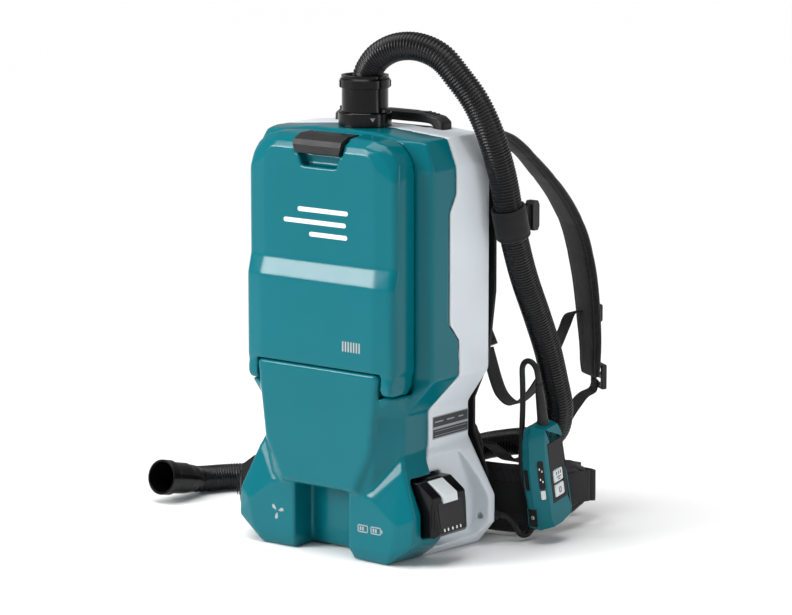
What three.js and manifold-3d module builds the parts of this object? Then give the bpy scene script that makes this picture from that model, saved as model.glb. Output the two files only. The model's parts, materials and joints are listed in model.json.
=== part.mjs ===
// A backpack vacuum cleaner: hard body with two battery bays, dust chamber under a hinged cover,
// suction hose, wired control box and a padded harness. Millimetres, +Z up. The body's front faces -Y
// and the wearer is on +Y. The origin is on the underside of the body, below its middle.
import * as THREE from "three";
import { ConvexGeometry } from "three/addons/geometries/ConvexGeometry.js";
import { mergeVertices } from "three/addons/utils/BufferGeometryUtils.js";
import Module from "manifold-3d";

const wasm = await Module();
wasm.setup();

// ---------------------------------------------------------------- driving dimensions
const GAP = 0.3; // between pieces that touch
const SEAM_Y = -38; // plane where the dust cover meets the body
const COVER_Y = -77; // the dust cover's front face above its step
const BIB_Y = -83; // the lower front face
const RIDGE_X = 130.5; // half the body's width
const SEAM_X = 110; // half the dust cover's width
const WAIST_X = 104; // half the waist's width
const BIB_X = 80; // half the lower front's width
const REAR_Y = 91; // the body's back
const TOP_Z = 490; // the body's shoulders
const CROWN_Z = 494; // the middle of its top
const WAIST_LOW_Z = 130;
const WAIST_HIGH_Z = 172;
const SIDE_LOW_Z = 213; // the straight sides start here
const SIDE_HIGH_Z = 456; // and end here
const FLOOR_Z = 236; // underside of the dust chamber's floor
const COVER_LOW_Z = 224; // the dust cover's lower edge
const MOTOR_FLOOR_Z = 126; // the motor stands here
const EAR_LOW_Z = 198; // its two hinge ears
const HINGE = { y: -72, z: 206, pinRadius: 2.5, boreRadius: 2.8, from: 80, to: 103 };
const LATCH = { halfWidth: 35, pivotY: -47, pivotZ: 486, lipZ: 469 };
const INLET = { y: 8.3, boreRadius: 21, spigotRadius: 23, ringRadius: 31 };
const HOSE = { radius: 16.5, wall: 2.5, sides: 12, steps: 40 };
const CUFF = { radius: 22, bore: 14, length: 56 };
const CABLE = { radius: 3.4, sides: 8, steps: 40 };
const BATTERY = { innerX: 46.5, edgeX: 150.5, yLow: -50, yHigh: 13, zLow: 35, zHigh: 97 };
const BAY = { innerX: 45.5, yLow: -51.5, yHigh: 15, zLow: 33.5, zHigh: 100 };
const CONTACT = { fromX: 38.5, yLow: -38, yHigh: -12, zLow: 81, zHigh: 93 }; // beside each bay
const STRAP_X = 95; // the shoulder straps' middle
const STRAP_END_Y = 332; // their lower ends
const PLATE = { yLow: 97.3, yHigh: 101.3 };

// ---------------------------------------------------------------- materials
const plastic = (color, roughness) => new THREE.MeshStandardMaterial({ color, roughness, metalness: 0 });
const TEAL = plastic(0x00848c, 0.28);
const GREY = plastic(0xc8ccd0, 0.45);
const BLACK = plastic(0x15161a, 0.4);
const SATIN_BLACK = plastic(0x1c1d20, 0.6);
const HOSE_BLACK = plastic(0x0e0f11, 0.3);
const LIGHT_BUTTON = plastic(0xd8dcdd, 0.5);
const RUBBER = plastic(0x18181a, 0.85);
const PAPER = plastic(0xd9cfb8, 0.9);
const FILTER_WHITE = plastic(0xe6e8e6, 0.9);
const FABRIC = plastic(0x17181b, 0.95);
const WEBBING = plastic(0x1a1b1e, 0.9);
const BOARD = plastic(0x1d5a34, 0.6);
const STEEL = new THREE.MeshStandardMaterial({ color: 0xb9bcc0, roughness: 0.3, metalness: 1 });
const COPPER = new THREE.MeshStandardMaterial({ color: 0xb98a4a, roughness: 0.4, metalness: 1 });

// ---------------------------------------------------------------- shape helpers
// A geometry as a solid with its faces out.
function solid(geometry) {
  const bare = geometry.index ? geometry.toNonIndexed() : geometry.clone();
  bare.deleteAttribute("normal");
  bare.deleteAttribute("uv");
  const merged = mergeVertices(bare, 1e-4);
  const index = merged.index.array;
  const corners = [];
  for (let i = 0; i < index.length; i += 3) {
    const [a, b, c] = index.slice(i, i + 3);
    if (a !== b && b !== c && c !== a) corners.push(a, b, c);
  }
  const build = (triVerts) =>
    new wasm.Manifold(
      new wasm.Mesh({
        numProp: 3,
        vertProperties: merged.attributes.position.array,
        triVerts: new Uint32Array(triVerts),
      }),
    );
  const made = build(corners);
  return made.volume() > 0 ? made : build(corners.reverse());
}

const vector = ([x, y, z]) => new THREE.Vector3(x, y, z);
const mirrorX = (points) => points.map(([x, ...rest]) => [-x, ...rest]);
const both = (points) => [...points, ...mirrorX(points)];
const hull = (points) => solid(new ConvexGeometry(points.map(vector)));
const join = (...solids) => solids.reduce((a, b) => a.add(b));
const cut = (body, ...tools) => tools.reduce((a, b) => a.subtract(b), body);

function geometryOf(body) {
  const made = body.getMesh();
  const geometry = new THREE.BufferGeometry();
  geometry.setAttribute("position", new THREE.BufferAttribute(new Float32Array(made.vertProperties), 3));
  geometry.setIndex(new THREE.BufferAttribute(new Uint32Array(made.triVerts), 1));
  return geometry;
}

function box([x0, x1], [y0, y1], [z0, z1]) {
  const block = new THREE.BoxGeometry(x1 - x0, y1 - y0, z1 - z0);
  block.translate((x0 + x1) / 2, (y0 + y1) / 2, (z0 + z1) / 2);
  return solid(block);
}

// An outline extruded by depth: the outline's axes and the depth's axis are given as unit vectors.
function prism(outline, depth, [right, up, along], start) {
  const shape = new THREE.Shape(outline.map(([u, v]) => new THREE.Vector2(u, v)));
  const geometry = new THREE.ExtrudeGeometry(shape, { depth, bevelEnabled: false, curveSegments: 6 });
  const frame = new THREE.Matrix4().makeBasis(vector(right), vector(up), vector(along));
  geometry.applyMatrix4(frame.setPosition(vector(along).multiplyScalar(start)));
  return solid(geometry);
}

const X = [1, 0, 0];
const Y = [0, 1, 0];
const Z = [0, 0, 1];
const prismX = (outlineYZ, [x0, x1]) => prism(outlineYZ, x1 - x0, [Y, Z, X], x0);
const prismZ = (outlineXY, [z0, z1]) => prism(outlineXY, z1 - z0, [X, Y, Z], z0);
const prismY = (outlineXZ, [y0, y1]) => prism(outlineXZ.map(([x, z]) => [z, x]), y1 - y0, [Z, X, Y], y0);

// A profile of [radius, height] turned about the vertical line through x, y.
function turned(profile, [x, y] = [0, 0], sides = 40) {
  const geometry = new THREE.LatheGeometry(
    profile.map(([r, z]) => new THREE.Vector2(r, z)),
    sides,
  );
  geometry.rotateX(Math.PI / 2);
  geometry.translate(x, y, 0);
  return solid(geometry);
}

const disc = (radius, [z0, z1], at, sides) =>
  turned([[0, z0], [radius, z0], [radius, z1], [0, z1]], at, sides);
const ring = (outer, inner, [z0, z1], at, sides) =>
  turned([[inner, z0], [outer, z0], [outer, z1], [inner, z1], [inner, z0]], at, sides);

// A bar along X.
function barX(radius, [x0, x1], y, z, sides = 20) {
  const bar = new THREE.CylinderGeometry(radius, radius, x1 - x0, sides);
  bar.rotateZ(Math.PI / 2);
  bar.translate((x0 + x1) / 2, y, z);
  return solid(bar);
}

// A solid moved by a matrix.
const moved = (body, matrix) => solid(geometryOf(body).applyMatrix4(matrix));

// The matrix that turns by [x, y, z] radians and then moves to a point.
function place(point, [x, y, z] = [0, 0, 0]) {
  const turn = new THREE.Euler(x, y, z, "ZYX");
  return new THREE.Matrix4().makeRotationFromEuler(turn).setPosition(vector(point));
}

// A closed body through rings of points, each ring going round the same way.
function loft(rings) {
  const count = rings[0].length;
  const faces = [];
  for (let i = 0; i + 1 < rings.length; i++) {
    for (let j = 0; j < count; j++) {
      const a = i * count + j;
      const b = i * count + ((j + 1) % count);
      faces.push(a, b, b + count, a, b + count, a + count);
    }
  }
  const last = (rings.length - 1) * count;
  for (let j = 1; j + 1 < count; j++) {
    faces.push(0, j + 1, j, last, last + j, last + j + 1);
  }
  const geometry = new THREE.BufferGeometry();
  const numbers = rings.flat().flatMap((p) => [p.x, p.y, p.z]);
  geometry.setAttribute("position", new THREE.Float32BufferAttribute(numbers, 3));
  geometry.setIndex(faces);
  return solid(geometry);
}

// The smooth curve through a route's points.
const curveOf = (route) => new THREE.CatmullRomCurve3(route.map(vector), false, "catmullrom", 0.5);

// A flat strap along a route. across is the direction of its width, or a function that gives it for
// each share of the route; sizes gives [width, thickness] at even steps.
function strap(route, across, sizes, steps) {
  const curve = curveOf(route);
  const rings = [];
  for (let i = 0; i <= steps; i++) {
    const t = i / steps;
    const middle = curve.getPointAt(t);
    const side = vector(typeof across === "function" ? across(t) : across);
    const normal = curve.getTangentAt(t).cross(side).normalize();
    const at = t * (sizes.length - 1);
    const low = Math.min(Math.floor(at), sizes.length - 2);
    const [width, thick] = sizes[low].map((s, k) => s + (at - low) * (sizes[low + 1][k] - s));
    const bevel = Math.min(thick * 0.35, 4);
    const section = [
      [width / 2 - bevel, thick / 2],
      [width / 2, thick / 2 - bevel],
    ];
    const full = [
      ...section,
      ...section.map(([u, v]) => [u, -v]).reverse(),
      ...section.map(([u, v]) => [-u, -v]),
      ...section.map(([u, v]) => [-u, v]).reverse(),
    ];
    rings.push(full.map(([u, v]) => middle.clone().addScaledVector(side, u).addScaledVector(normal, v)));
  }
  return loft(rings);
}

// A round cord along a route, hollow if it has a wall.
function cord(route, { radius, sides, steps, wall }) {
  const section = (r) => {
    const points = [];
    for (let i = 0; i < sides; i++) {
      const turn = (2 * Math.PI * i) / sides;
      points.push(new THREE.Vector2(r * Math.cos(turn), r * Math.sin(turn)));
    }
    return points;
  };
  const shape = new THREE.Shape(section(radius));
  if (wall) shape.holes.push(new THREE.Path(section(radius - wall).reverse()));
  const sweep = { steps, bevelEnabled: false, extrudePath: curveOf(route) };
  return solid(new THREE.ExtrudeGeometry(shape, sweep));
}

// ---------------------------------------------------------------- the scene graph
const vacuum = new THREE.Group();

function add(name, body, material, group = vacuum) {
  const geometry = geometryOf(body);
  geometry.computeVertexNormals();
  const mesh = new THREE.Mesh(geometry, material);
  mesh.name = name;
  group.add(mesh);
}

// One piece for each side: build takes 1 for the right and -1 for the left.
function addPair(name, build, material) {
  add(`${name}_right`, build(1), material);
  add(`${name}_left`, build(-1), material);
}

const onSide = (side, points) => (side > 0 ? points : mirrorX(points));
const spanX = (side, [x0, x1]) => (side > 0 ? [x0, x1] : [-x1, -x0]);

// ---------------------------------------------------------------- body shells
// The outside of the whole body without its dust cover and bib.
function bodyOutside() {
  const side = (z) => [
    [SEAM_X, SEAM_Y, z],
    [RIDGE_X, -32, z],
    [RIDGE_X, 74, z],
    [117, 89, z],
    [60, REAR_Y, z],
  ];
  const waist = (z) => [
    [BIB_X, COVER_Y, z],
    [WAIST_X, -50, z],
    [WAIST_X, 70, z],
    [92, 84, z],
  ];
  const shoulders = [
    [103, SEAM_Y, 472],
    [90, SEAM_Y, 487],
    [110, -31, TOP_Z - 3],
    [118, -28, TOP_Z - 6],
    [124, -30, 473],
    [118, -12, TOP_Z - 2],
    [118, 62, TOP_Z - 2],
    [104, 80, TOP_Z - 2],
    [45, SEAM_Y + 4, CROWN_Z],
    [45, 70, CROWN_Z],
    [60, 84, TOP_Z],
  ];
  const upper = hull(
    both([...side(SIDE_LOW_Z), ...side(SIDE_HIGH_Z), [SEAM_X, SEAM_Y, 446], ...shoulders]),
  );
  const taper = hull(
    both([...side(SIDE_LOW_Z), [WAIST_X, SEAM_Y, WAIST_HIGH_Z], ...waist(WAIST_HIGH_Z).slice(2)]),
  );
  const sweeps = [1, -1].map((end) =>
    hull(
      onSide(end, [
        [RIDGE_X, -32, SIDE_LOW_Z],
        [SEAM_X + 0.6, SEAM_Y + GAP, SIDE_LOW_Z],
        [SEAM_X + 0.6, -47.6, EAR_LOW_Z - 0.6],
        [SEAM_X + 0.6, SEAM_Y + GAP, EAR_LOW_Z - 0.6],
        [WAIST_X, -50, WAIST_HIGH_Z],
        [WAIST_X, SEAM_Y, WAIST_HIGH_Z],
      ]),
    ),
  );
  const earShelves = [1, -1].map((end) =>
    hull(
      onSide(end, [
        [91, -79, EAR_LOW_Z - 0.6],
        [91, SEAM_Y, EAR_LOW_Z - 0.6],
        [105, -73, EAR_LOW_Z - 0.6],
        [SEAM_X, SEAM_Y, EAR_LOW_Z - 0.6],
        [BIB_X, COVER_Y, WAIST_HIGH_Z],
        [BIB_X, SEAM_Y, WAIST_HIGH_Z],
        ...waist(WAIST_HIGH_Z).slice(1, 3),
      ]),
    ),
  );
  const front = hull(
    both([
      [90.6, COVER_Y, COVER_LOW_Z - 3],
      [90.6, COVER_Y + 2.5, COVER_LOW_Z - 0.6],
      [90.6, SEAM_Y, COVER_LOW_Z - 0.6],
      [BIB_X, COVER_Y, WAIST_HIGH_Z],
      [BIB_X, SEAM_Y, WAIST_HIGH_Z],
    ]),
  );
  const bib = [
    [56, 82],
    [BIB_X - 1, 128],
    [BIB_X, WAIST_HIGH_Z],
    [90, COVER_LOW_Z - 5],
    [87, COVER_LOW_Z - 0.8],
  ];
  const bibFront = bib.map(([x, z]) => [x - 4, z < 150 ? z + 4 : z]);
  const panel = hull(
    both([
      ...bib.map(([x, z]) => [x, COVER_Y + 1, z]),
      ...bib.map(([x, z]) => [x, BIB_Y + 3.5, z]),
      ...bibFront.map(([x, z]) => [x, BIB_Y, z]),
    ]),
  );
  const middle = hull(both([...waist(WAIST_LOW_Z), ...waist(WAIST_HIGH_Z)]));
  const apron = hull(
    both([
      ...waist(WAIST_LOW_Z),
      [56, COVER_Y, 80],
      [72, -70, 80],
      [72, 60, 80],
    ]),
  );
  const centre = hull(
    both([
      [46, -43, 24],
      [46, -39, 4],
      [46, -30, 0],
      [46, 88, 0],
      [46, 95, 28],
      [46, 95, 62],
      [46, 72, WAIST_LOW_Z],
      [46, -43, WAIST_LOW_Z],
    ]),
  );
  const feet = [footOutside(1), footOutside(-1)];
  return join(upper, taper, ...sweeps, ...earShelves, front, panel, middle, apron, centre, ...feet);
}

// One of the two feet that hold the batteries.
function footOutside(side) {
  return hull(
    onSide(side, [
      [44, -68, 0],
      [93, -70, 0],
      [108, 86, 0],
      [44, 86, 0],
      [40, -75, 14],
      [101, -75, 14],
      [40, -75, 80],
      [73, -75, 77],
      [110, -75, 50],
      [RIDGE_X, -68, 28],
      [RIDGE_X, -66, 60],
      [RIDGE_X, 88, 28],
      [RIDGE_X, 88, 60],
      [120, 97, 28],
      [120, 97, 60],
      [44, 97, 28],
      [44, 95, 60],
      [108, -57, 113],
      [113, 66, 117],
      [101, -50, WAIST_LOW_Z],
      [WAIST_X, 70, WAIST_LOW_Z],
      [92, 84, WAIST_LOW_Z],
      [40, -52, WAIST_LOW_Z],
      [40, 72, WAIST_LOW_Z],
    ]),
  );
}

// The dust chamber's front opening, larger all round by a margin.
function mouthOutline(margin) {
  const half = [
    [96 + margin, FLOOR_Z + 8 - margin],
    [96 + margin, 440 + margin * 0.4],
    [79 + margin * 0.8, 477 + margin],
  ];
  return [...half, ...mirrorX(half).reverse()];
}

// The dust chamber, the motor room below it and the rooms in the feet.
function bodyHollows() {
  const wall = (z, inset) => [
    [SEAM_X - 5, SEAM_Y + 4, z],
    [RIDGE_X - inset, -27, z],
    [RIDGE_X - inset, 71, z],
    [114, 85, z],
  ];
  const chamber = hull(
    both([...wall(FLOOR_Z + 4, 4), ...wall(452, 4), [84, SEAM_Y + 4, 484], [110, 58, 484], [98, 76, 484]]),
  );
  const mouth = prismY(mouthOutline(0), [SEAM_Y - 10, SEAM_Y + 8]);
  const motorRoom = join(
    hull(
      both([
        ...wall(FLOOR_Z - 4, 4),
        ...wall(SIDE_LOW_Z, 4),
        [99, -34, 176],
        [99, 55, 176],
        [86, 67, 176],
      ]),
    ),
    box([-76, 76], [COVER_Y + 4, 20], [MOTOR_FLOOR_Z, 218]),
    box([-99, 99], [-46, 64], [WAIST_LOW_Z + 4, 180]),
    box([-86, 86], [0, 67], [MOTOR_FLOOR_Z, 218]),
  );
  const airHole = disc(42, [FLOOR_Z - 10, FLOOR_Z + 10], [0, 12], 36);
  const middleRoom = box([-30, 30], [SEAM_Y, 68], [10, 150]);
  const rearRoom = box([-102, 102], [26, 86], [12, 92]);
  const underRoom = join(box([47, 92], [-58, 60], [8, 30]), box([-92, -47], [-58, 60], [8, 30]));
  return [chamber, mouth, motorRoom, airHole, middleRoom, rearRoom, underRoom];
}

// The bay that a battery slides into from the side, and the hand space behind it.
function bayHollow(side) {
  const { innerX, yLow, yHigh, zLow, zHigh } = BAY;
  const slot = box(spanX(side, [innerX, 160]), [yLow, yHigh], [zLow, zHigh]);
  const handSpace = [
    [-14, 118],
    [44, 118],
    [66, 84],
    [77, 58],
    [77, 32],
    [66, 15],
    [-14, 15],
  ];
  const { fromX, ...seat } = CONTACT;
  const contacts = box(spanX(side, [fromX, innerX + 1]), [seat.yLow, seat.yHigh], [seat.zLow, seat.zHigh]);
  return join(slot, prismX(handSpace, spanX(side, [106.5, 160])), contacts);
}

// Where the teal front shell meets the grey rear shell, as [y, z] from the bottom up.
const PARTING = [
  [-12, 0],
  [-12, 120],
  [-5, 130],
  [-5, 172],
  [19, 213],
  [18, 255],
  [0, 275],
  [0, 404],
  [12, 424],
  [12, 520],
];

function addShells() {
  const hollows = [...bodyHollows(), bayHollow(1), bayHollow(-1)];
  const inletHole = disc(INLET.spigotRadius + GAP, [470, 520], [0, INLET.y], 36);
  const shell = cut(bodyOutside(), ...hollows, inletHole);
  const parting = (gap) => PARTING.map(([y, z], i) => [y + gap, i ? z : -5]);
  const inFront = prismX([[-100, -5], ...parting(0), [-100, 520]], [-160, 160]);
  const behind = prismX([[120, -5], [120, 520], ...parting(GAP).reverse()], [-160, 160]);
  const pinBores = [1, -1].map((side) =>
    barX(HINGE.boreRadius, spanX(side, [HINGE.from - 0.5, 95]), HINGE.y, HINGE.z),
  );
  const handleWell = hull(both([[63, 46, 500], [63, 100, 500], [56, 50, 476], [56, 100, 476]]));
  const handlePockets = [1, -1].map((side) => box(spanX(side, [65.7, 81.8]), [50, 70.6], [484, 500]));
  const cableHole = moved(disc(GROMMET.radius + 2 * GAP, [-24, 20], [0, 0], 16), grommetPlace());
  const bosses = [1, -1].flatMap((side) =>
    [[280, 300], [430, 450]].map((height) =>
      box(spanX(side, [70, 100]), [REAR_Y - 4, PLATE.yLow - GAP], height),
    ),
  );
  const rear = join(shell.intersect(behind), ...bosses);
  add("front_housing", cut(shell.intersect(inFront), ...pinBores), TEAL);
  add("rear_housing", cut(rear, handleWell, ...handlePockets, cableHole), GREY);
}

// ---------------------------------------------------------------- dust cover and latch
function coverOutside(inset) {
  const low = COVER_LOW_Z + inset;
  const flat = (y, z, x = 81) => [
    [x - inset / 2, y + inset, z],
    [SEAM_X - 5.5 - inset, y + 4 + inset, z],
    [SEAM_X - 1.6 - inset, y + 7.5 + inset, z],
    [SEAM_X - inset, y + 12 + inset, z],
    [SEAM_X - inset, SEAM_Y - 0.2 * GAP, z],
  ];
  const lower = hull(both([...flat(BIB_Y, low, 83), ...flat(BIB_Y, 322, 83)]));
  const step = hull(both([...flat(BIB_Y, 322, 83), ...flat(COVER_Y, 345)]));
  const upper = hull(
    both([
      ...flat(COVER_Y, 345),
      ...flat(COVER_Y, 446),
      [80, COVER_Y + inset, 462 - inset],
      [70, COVER_Y + inset, 473 - inset],
      [66, COVER_Y + 3 + inset, 482 - inset],
      [84, COVER_Y + 5 + inset, 478 - inset],
      [96 - inset, COVER_Y + 5 + inset, 466 - inset],
      [104 - inset, COVER_Y + 9 + inset, 462 - inset],
      [107 - inset, COVER_Y + 14 + inset, 464 - inset],
      [99 - inset, COVER_Y + 13 + inset, 475 - inset],
      [88 - inset, COVER_Y + 13 + inset, 484 - inset],
      [108 - inset, SEAM_Y - 0.2 * GAP, 463 - inset],
      [102 - inset, SEAM_Y - 0.2 * GAP, 474 - inset],
      [93 - inset, SEAM_Y - 0.2 * GAP, 483 - inset],
      [80 - inset, SEAM_Y - 0.2 * GAP, 488.5 - inset],
      [70, COVER_Y + 14 + inset, 489 - inset],
      [45, SEAM_Y - 0.2 * GAP, 491.5 - inset],
    ]),
  );
  return join(lower, step, upper);
}

function addDustCover() {
  const back = box([-120, 120], [SEAM_Y - GAP, SEAM_Y + 20], [180, 520]);
  const ears = [1, -1].map((side) =>
    hull([
      ...onSide(side, [
        [91.2, -79.6, 230],
        [SEAM_X - 2, -75, 230],
        [SEAM_X, SEAM_Y, 230],
        [91.2, SEAM_Y, 230],
        [91.2, -45, EAR_LOW_Z],
        [105, -45, EAR_LOW_Z],
        [91.2, -39.6, 206],
        [SEAM_X - 2.5, -40.4, 207],
      ]),
      ...earRound(side),
    ]),
  );
  const latchBlock = hull(both([[42, -79, 448], [42, -42, 462], [42, -79, 490], [42, -42, 490]])).intersect(
    coverOutside(0),
  );
  const hollow = cut(coverOutside(3), latchBlock);
  const openBack = box([-103, 103], [SEAM_Y - 6, SEAM_Y + 10], [COVER_LOW_Z + 8, 445]);
  const bottomClearance = prismX(
    [[-80.4, 220], [-80.4, 227], [SEAM_Y + 5, 229], [SEAM_Y + 5, 220]],
    [-91, 91],
  );
  const latchSeat = box([-35.4, 35.4], [-90, -43], [LATCH.lipZ - 0.5, 500]);
  const grip = prismY([[-37, 486], [-25, 454], [25, 454], [37, 486]], [-90, -64]);
  const latchBore = barX(2.2, [-39, 39], LATCH.pivotY, LATCH.pivotZ, 16);
  const pinBores = [1, -1].map((side) =>
    barX(HINGE.boreRadius, spanX(side, [88, 103.6]), HINGE.y, HINGE.z),
  );
  const cover = cut(
    join(coverOutside(0), ...ears),
    back,
    hollow,
    openBack,
    bottomClearance,
    latchSeat,
    grip,
    latchBore,
    ...pinBores,
  );
  add("dust_cover", cover, TEAL);
  const pin = (side) => barX(HINGE.pinRadius, spanX(side, [HINGE.from, HINGE.to]), HINGE.y, HINGE.z);
  addPair("hinge_pin", pin, STEEL);
}

// The rounded lower corner of a hinge ear.
function earRound(side) {
  const radius = HINGE.z - EAR_LOW_Z;
  const points = [];
  for (let i = 0; i <= 5; i++) {
    const turn = Math.PI + (i / 5) * (Math.PI / 2);
    const y = HINGE.y + radius * Math.cos(turn);
    const z = HINGE.z + radius * Math.sin(turn);
    points.push([91.2, y, z], [105, y, z]);
  }
  return onSide(side, points);
}

function addLatch() {
  const { halfWidth, pivotY, pivotZ, lipZ } = LATCH;
  const side = [
    [-80.5, lipZ + 2],
    [-81, lipZ + 10],
    [-78.5, 485],
    [-66, 490.5],
    [pivotY, 491],
    [-44.5, 489],
    [-43.4, pivotZ],
    [-44.5, 483.2],
    [pivotY - 4, 483],
    [-68, 483.5],
    [-75, 480],
    [-77, lipZ + 2],
    [-78.5, lipZ],
  ];
  const body = prismX(side, [-halfWidth, halfWidth]);
  const corner = [[halfWidth - 4, lipZ - 1], [halfWidth + 1, lipZ - 1], [halfWidth + 1, 480]];
  const corners = [1, -1].map((end) => prismY(onSide(end, corner), [-90, -60]));
  const pivots = barX(1.8, [-38, 38], pivotY, pivotZ, 16);
  add("cover_latch", join(cut(body, ...corners), pivots), SATIN_BLACK);
}

function addGasket() {
  const outer = prismY(mouthOutline(4.3), [SEAM_Y - 3, SEAM_Y - GAP]);
  const inner = prismY(mouthOutline(0.8), [SEAM_Y - 10, SEAM_Y + 1]);
  add("chamber_gasket", cut(outer, inner), RUBBER);
}

// ---------------------------------------------------------------- inlet and hose
function addInlet() {
  const { y, boreRadius, spigotRadius, ringRadius } = INLET;
  const profile = [
    [boreRadius, 452],
    [spigotRadius, 452],
    [spigotRadius, CROWN_Z + 0.4],
    [ringRadius, CROWN_Z + 0.4],
    [ringRadius, 509.5],
    [ringRadius - 1.5, 511],
    [boreRadius, 511],
    [boreRadius, 452],
  ];
  add("inlet_port", turned(profile, [0, y], 44), BLACK);
}

function addCoupling() {
  const { y, boreRadius, ringRadius } = INLET;
  const spigot = boreRadius - GAP;
  const profile = [
    [spigot - 2.4, 498],
    [spigot, 498],
    [spigot, 511 + GAP],
    [27, 511 + GAP],
    [27, 538],
    [29.2, 538.6],
    [29.2, 548],
    [27.6, 550],
    [27.6, 553],
    [23.5, 553],
    [21, 540],
    [spigot - 2.4, 537],
    [spigot - 2.4, 498],
  ];
  const tabs = [1, -1].map((side) =>
    box(side > 0 ? [24, ringRadius + 2.4] : [-ringRadius - 2.4, -24], [y - 5, y + 5], [511 + GAP, 515]),
  );
  const bore = disc(spigot - 2.4, [490, 545], [0, y], 36);
  add("hose_coupling", cut(join(turned(profile, [0, y], 44), ...tabs), bore), BLACK);
}

// The hose's middle line from the coupling to the rear of the cuff.
const HOSE_ROUTE = [
  [0, 8.3, 541],
  [5, 8.3, 557],
  [20, 9, 575],
  [44, 12, 587],
  [72, 17, 588.5],
  [98, 24, 578],
  [117, 32.5, 555],
  [134, 44, 526],
  [146, 56, 488],
  [151, 72, 440],
  [152, 87, 386],
  [150.5, 102, 349],
  [149, 120, 312],
  [148.5, 145.5, 266],
  [148, 167.5, 223],
  [147, 184, 182],
  [144, 198, 147],
  [131, 207, 117],
  [106, 205, 103],
  [75, 198, 97],
  [36, 192, 87],
  [-8, 190, 68],
  [-56, 190, 43],
  [-103, 187, 24],
  [-150, 181, 17.2],
  [-200, 171, 17],
  [-243, 157, 16.9],
  [-275, 136, 16.9],
  [-297, 112, 16.9],
  [-311.6, 88, 17],
  [-317.6, 71, 18.1],
  [-318, 57.8, 20.9],
];

function addHose() {
  add("hose", cord(HOSE_ROUTE, HOSE), HOSE_BLACK);
  const { radius, bore, length } = CUFF;
  const profile = [
    [bore, 0],
    [radius - 4.5, 0],
    [radius - 3.6, 12],
    [radius - 2.6, 14],
    [radius - 2.2, 40],
    [radius, 43],
    [radius, length],
    [radius - 2.5, length],
    [bore + 1.5, 30],
    [bore, 24],
    [bore, 0],
  ];
  const cuff = new THREE.Group();
  cuff.position.set(-318, 56.8, 21.1);
  cuff.rotation.set(Math.PI / 2 - THREE.MathUtils.degToRad(12), 0, 0);
  vacuum.add(cuff);
  add("hose_cuff", turned(profile, [0, 0], 32), BLACK, cuff);
}

// The fabric loop that holds the hose to the back plate's edge.
function addHoseBand() {
  const band = new THREE.Group();
  band.position.set(152, 87, 386);
  band.rotation.set(THREE.MathUtils.degToRad(18.2), 0, 0);
  vacuum.add(band);
  add("hose_band", ring(20.4, 17.9, [-19, 19], [0, 0], 32), FABRIC, band);
  const knob = [
    [124, 375],
    [127, 371],
    [134, 371],
    [137, 376],
    [137, 401],
    [134, 406],
    [127, 406],
    [124, 402],
  ];
  const clip = join(
    box([112.6, 117], [PLATE.yHigh + GAP, 120], [382, 400]),
    box([112.6, 153], [116.2, 120], [382, 400]),
    box([149, 153], [116.2, 127], [375, 401]),
    prismX(knob, [145, 157]),
  );
  add("hose_band_clip", clip, SATIN_BLACK);
}

// ---------------------------------------------------------------- inside the dust chamber
function addBag() {
  const { y, spigotRadius } = INLET;
  const bagRing = (z, halfX, yLow, yHigh) => [
    [halfX, yLow + 18, z],
    [halfX - 18, yLow, z],
    [halfX, yHigh - 18, z],
    [halfX - 18, yHigh, z],
  ];
  const bagHull = (inset) =>
    hull(
      both([
        ...bagRing(272 + inset, 70 - inset, -48 + inset, 58 - inset),
        ...bagRing(300, 88 - inset, -62 + inset, 70 - inset),
        ...bagRing(400, 88 - inset, -62 + inset, 70 - inset),
        ...bagRing(438 - inset, 70 - inset, -40 + inset, 56 - inset),
      ]),
    );
  const mouth = disc(spigotRadius + 1, [420, 450], [0, y], 28);
  add("dust_bag", cut(bagHull(0), bagHull(2.5), mouth), PAPER);
  const plate = box([-62, 62], [-42, 62], [439, 443]);
  const collar = ring(spigotRadius + 5, spigotRadius + 1, [439, 451], [0, y], 28);
  const rails = [1, -1].map((side) => box(spanX(side, [62, 66]), [-42, 62], [439, 449]));
  const hole = disc(spigotRadius + 1, [430, 460], [0, y], 28);
  add("bag_holder", cut(join(plate, collar, ...rails), hole), SATIN_BLACK);
}

function addFilter() {
  const frame = cut(
    box([-90, 90], [-30, 74], [FLOOR_Z + 4.4, 264]),
    box([-84, 84], [-24, 68], [FLOOR_Z, 270]),
  );
  add("filter_frame", frame, SATIN_BLACK);
  const pleats = 21;
  const pitch = (2 * 83.5) / pleats;
  const outline = [[-83.5, 246]];
  for (let i = 0; i < pleats; i++) {
    outline.push([-83.5 + (i + 0.5) * pitch, 262], [-83.5 + (i + 1) * pitch, 246]);
  }
  outline.push([83.5, 243], [-83.5, 243]);
  add("hepa_filter", prismY(outline.reverse(), [-23.5, 67.5]), FILTER_WHITE);
}

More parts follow.
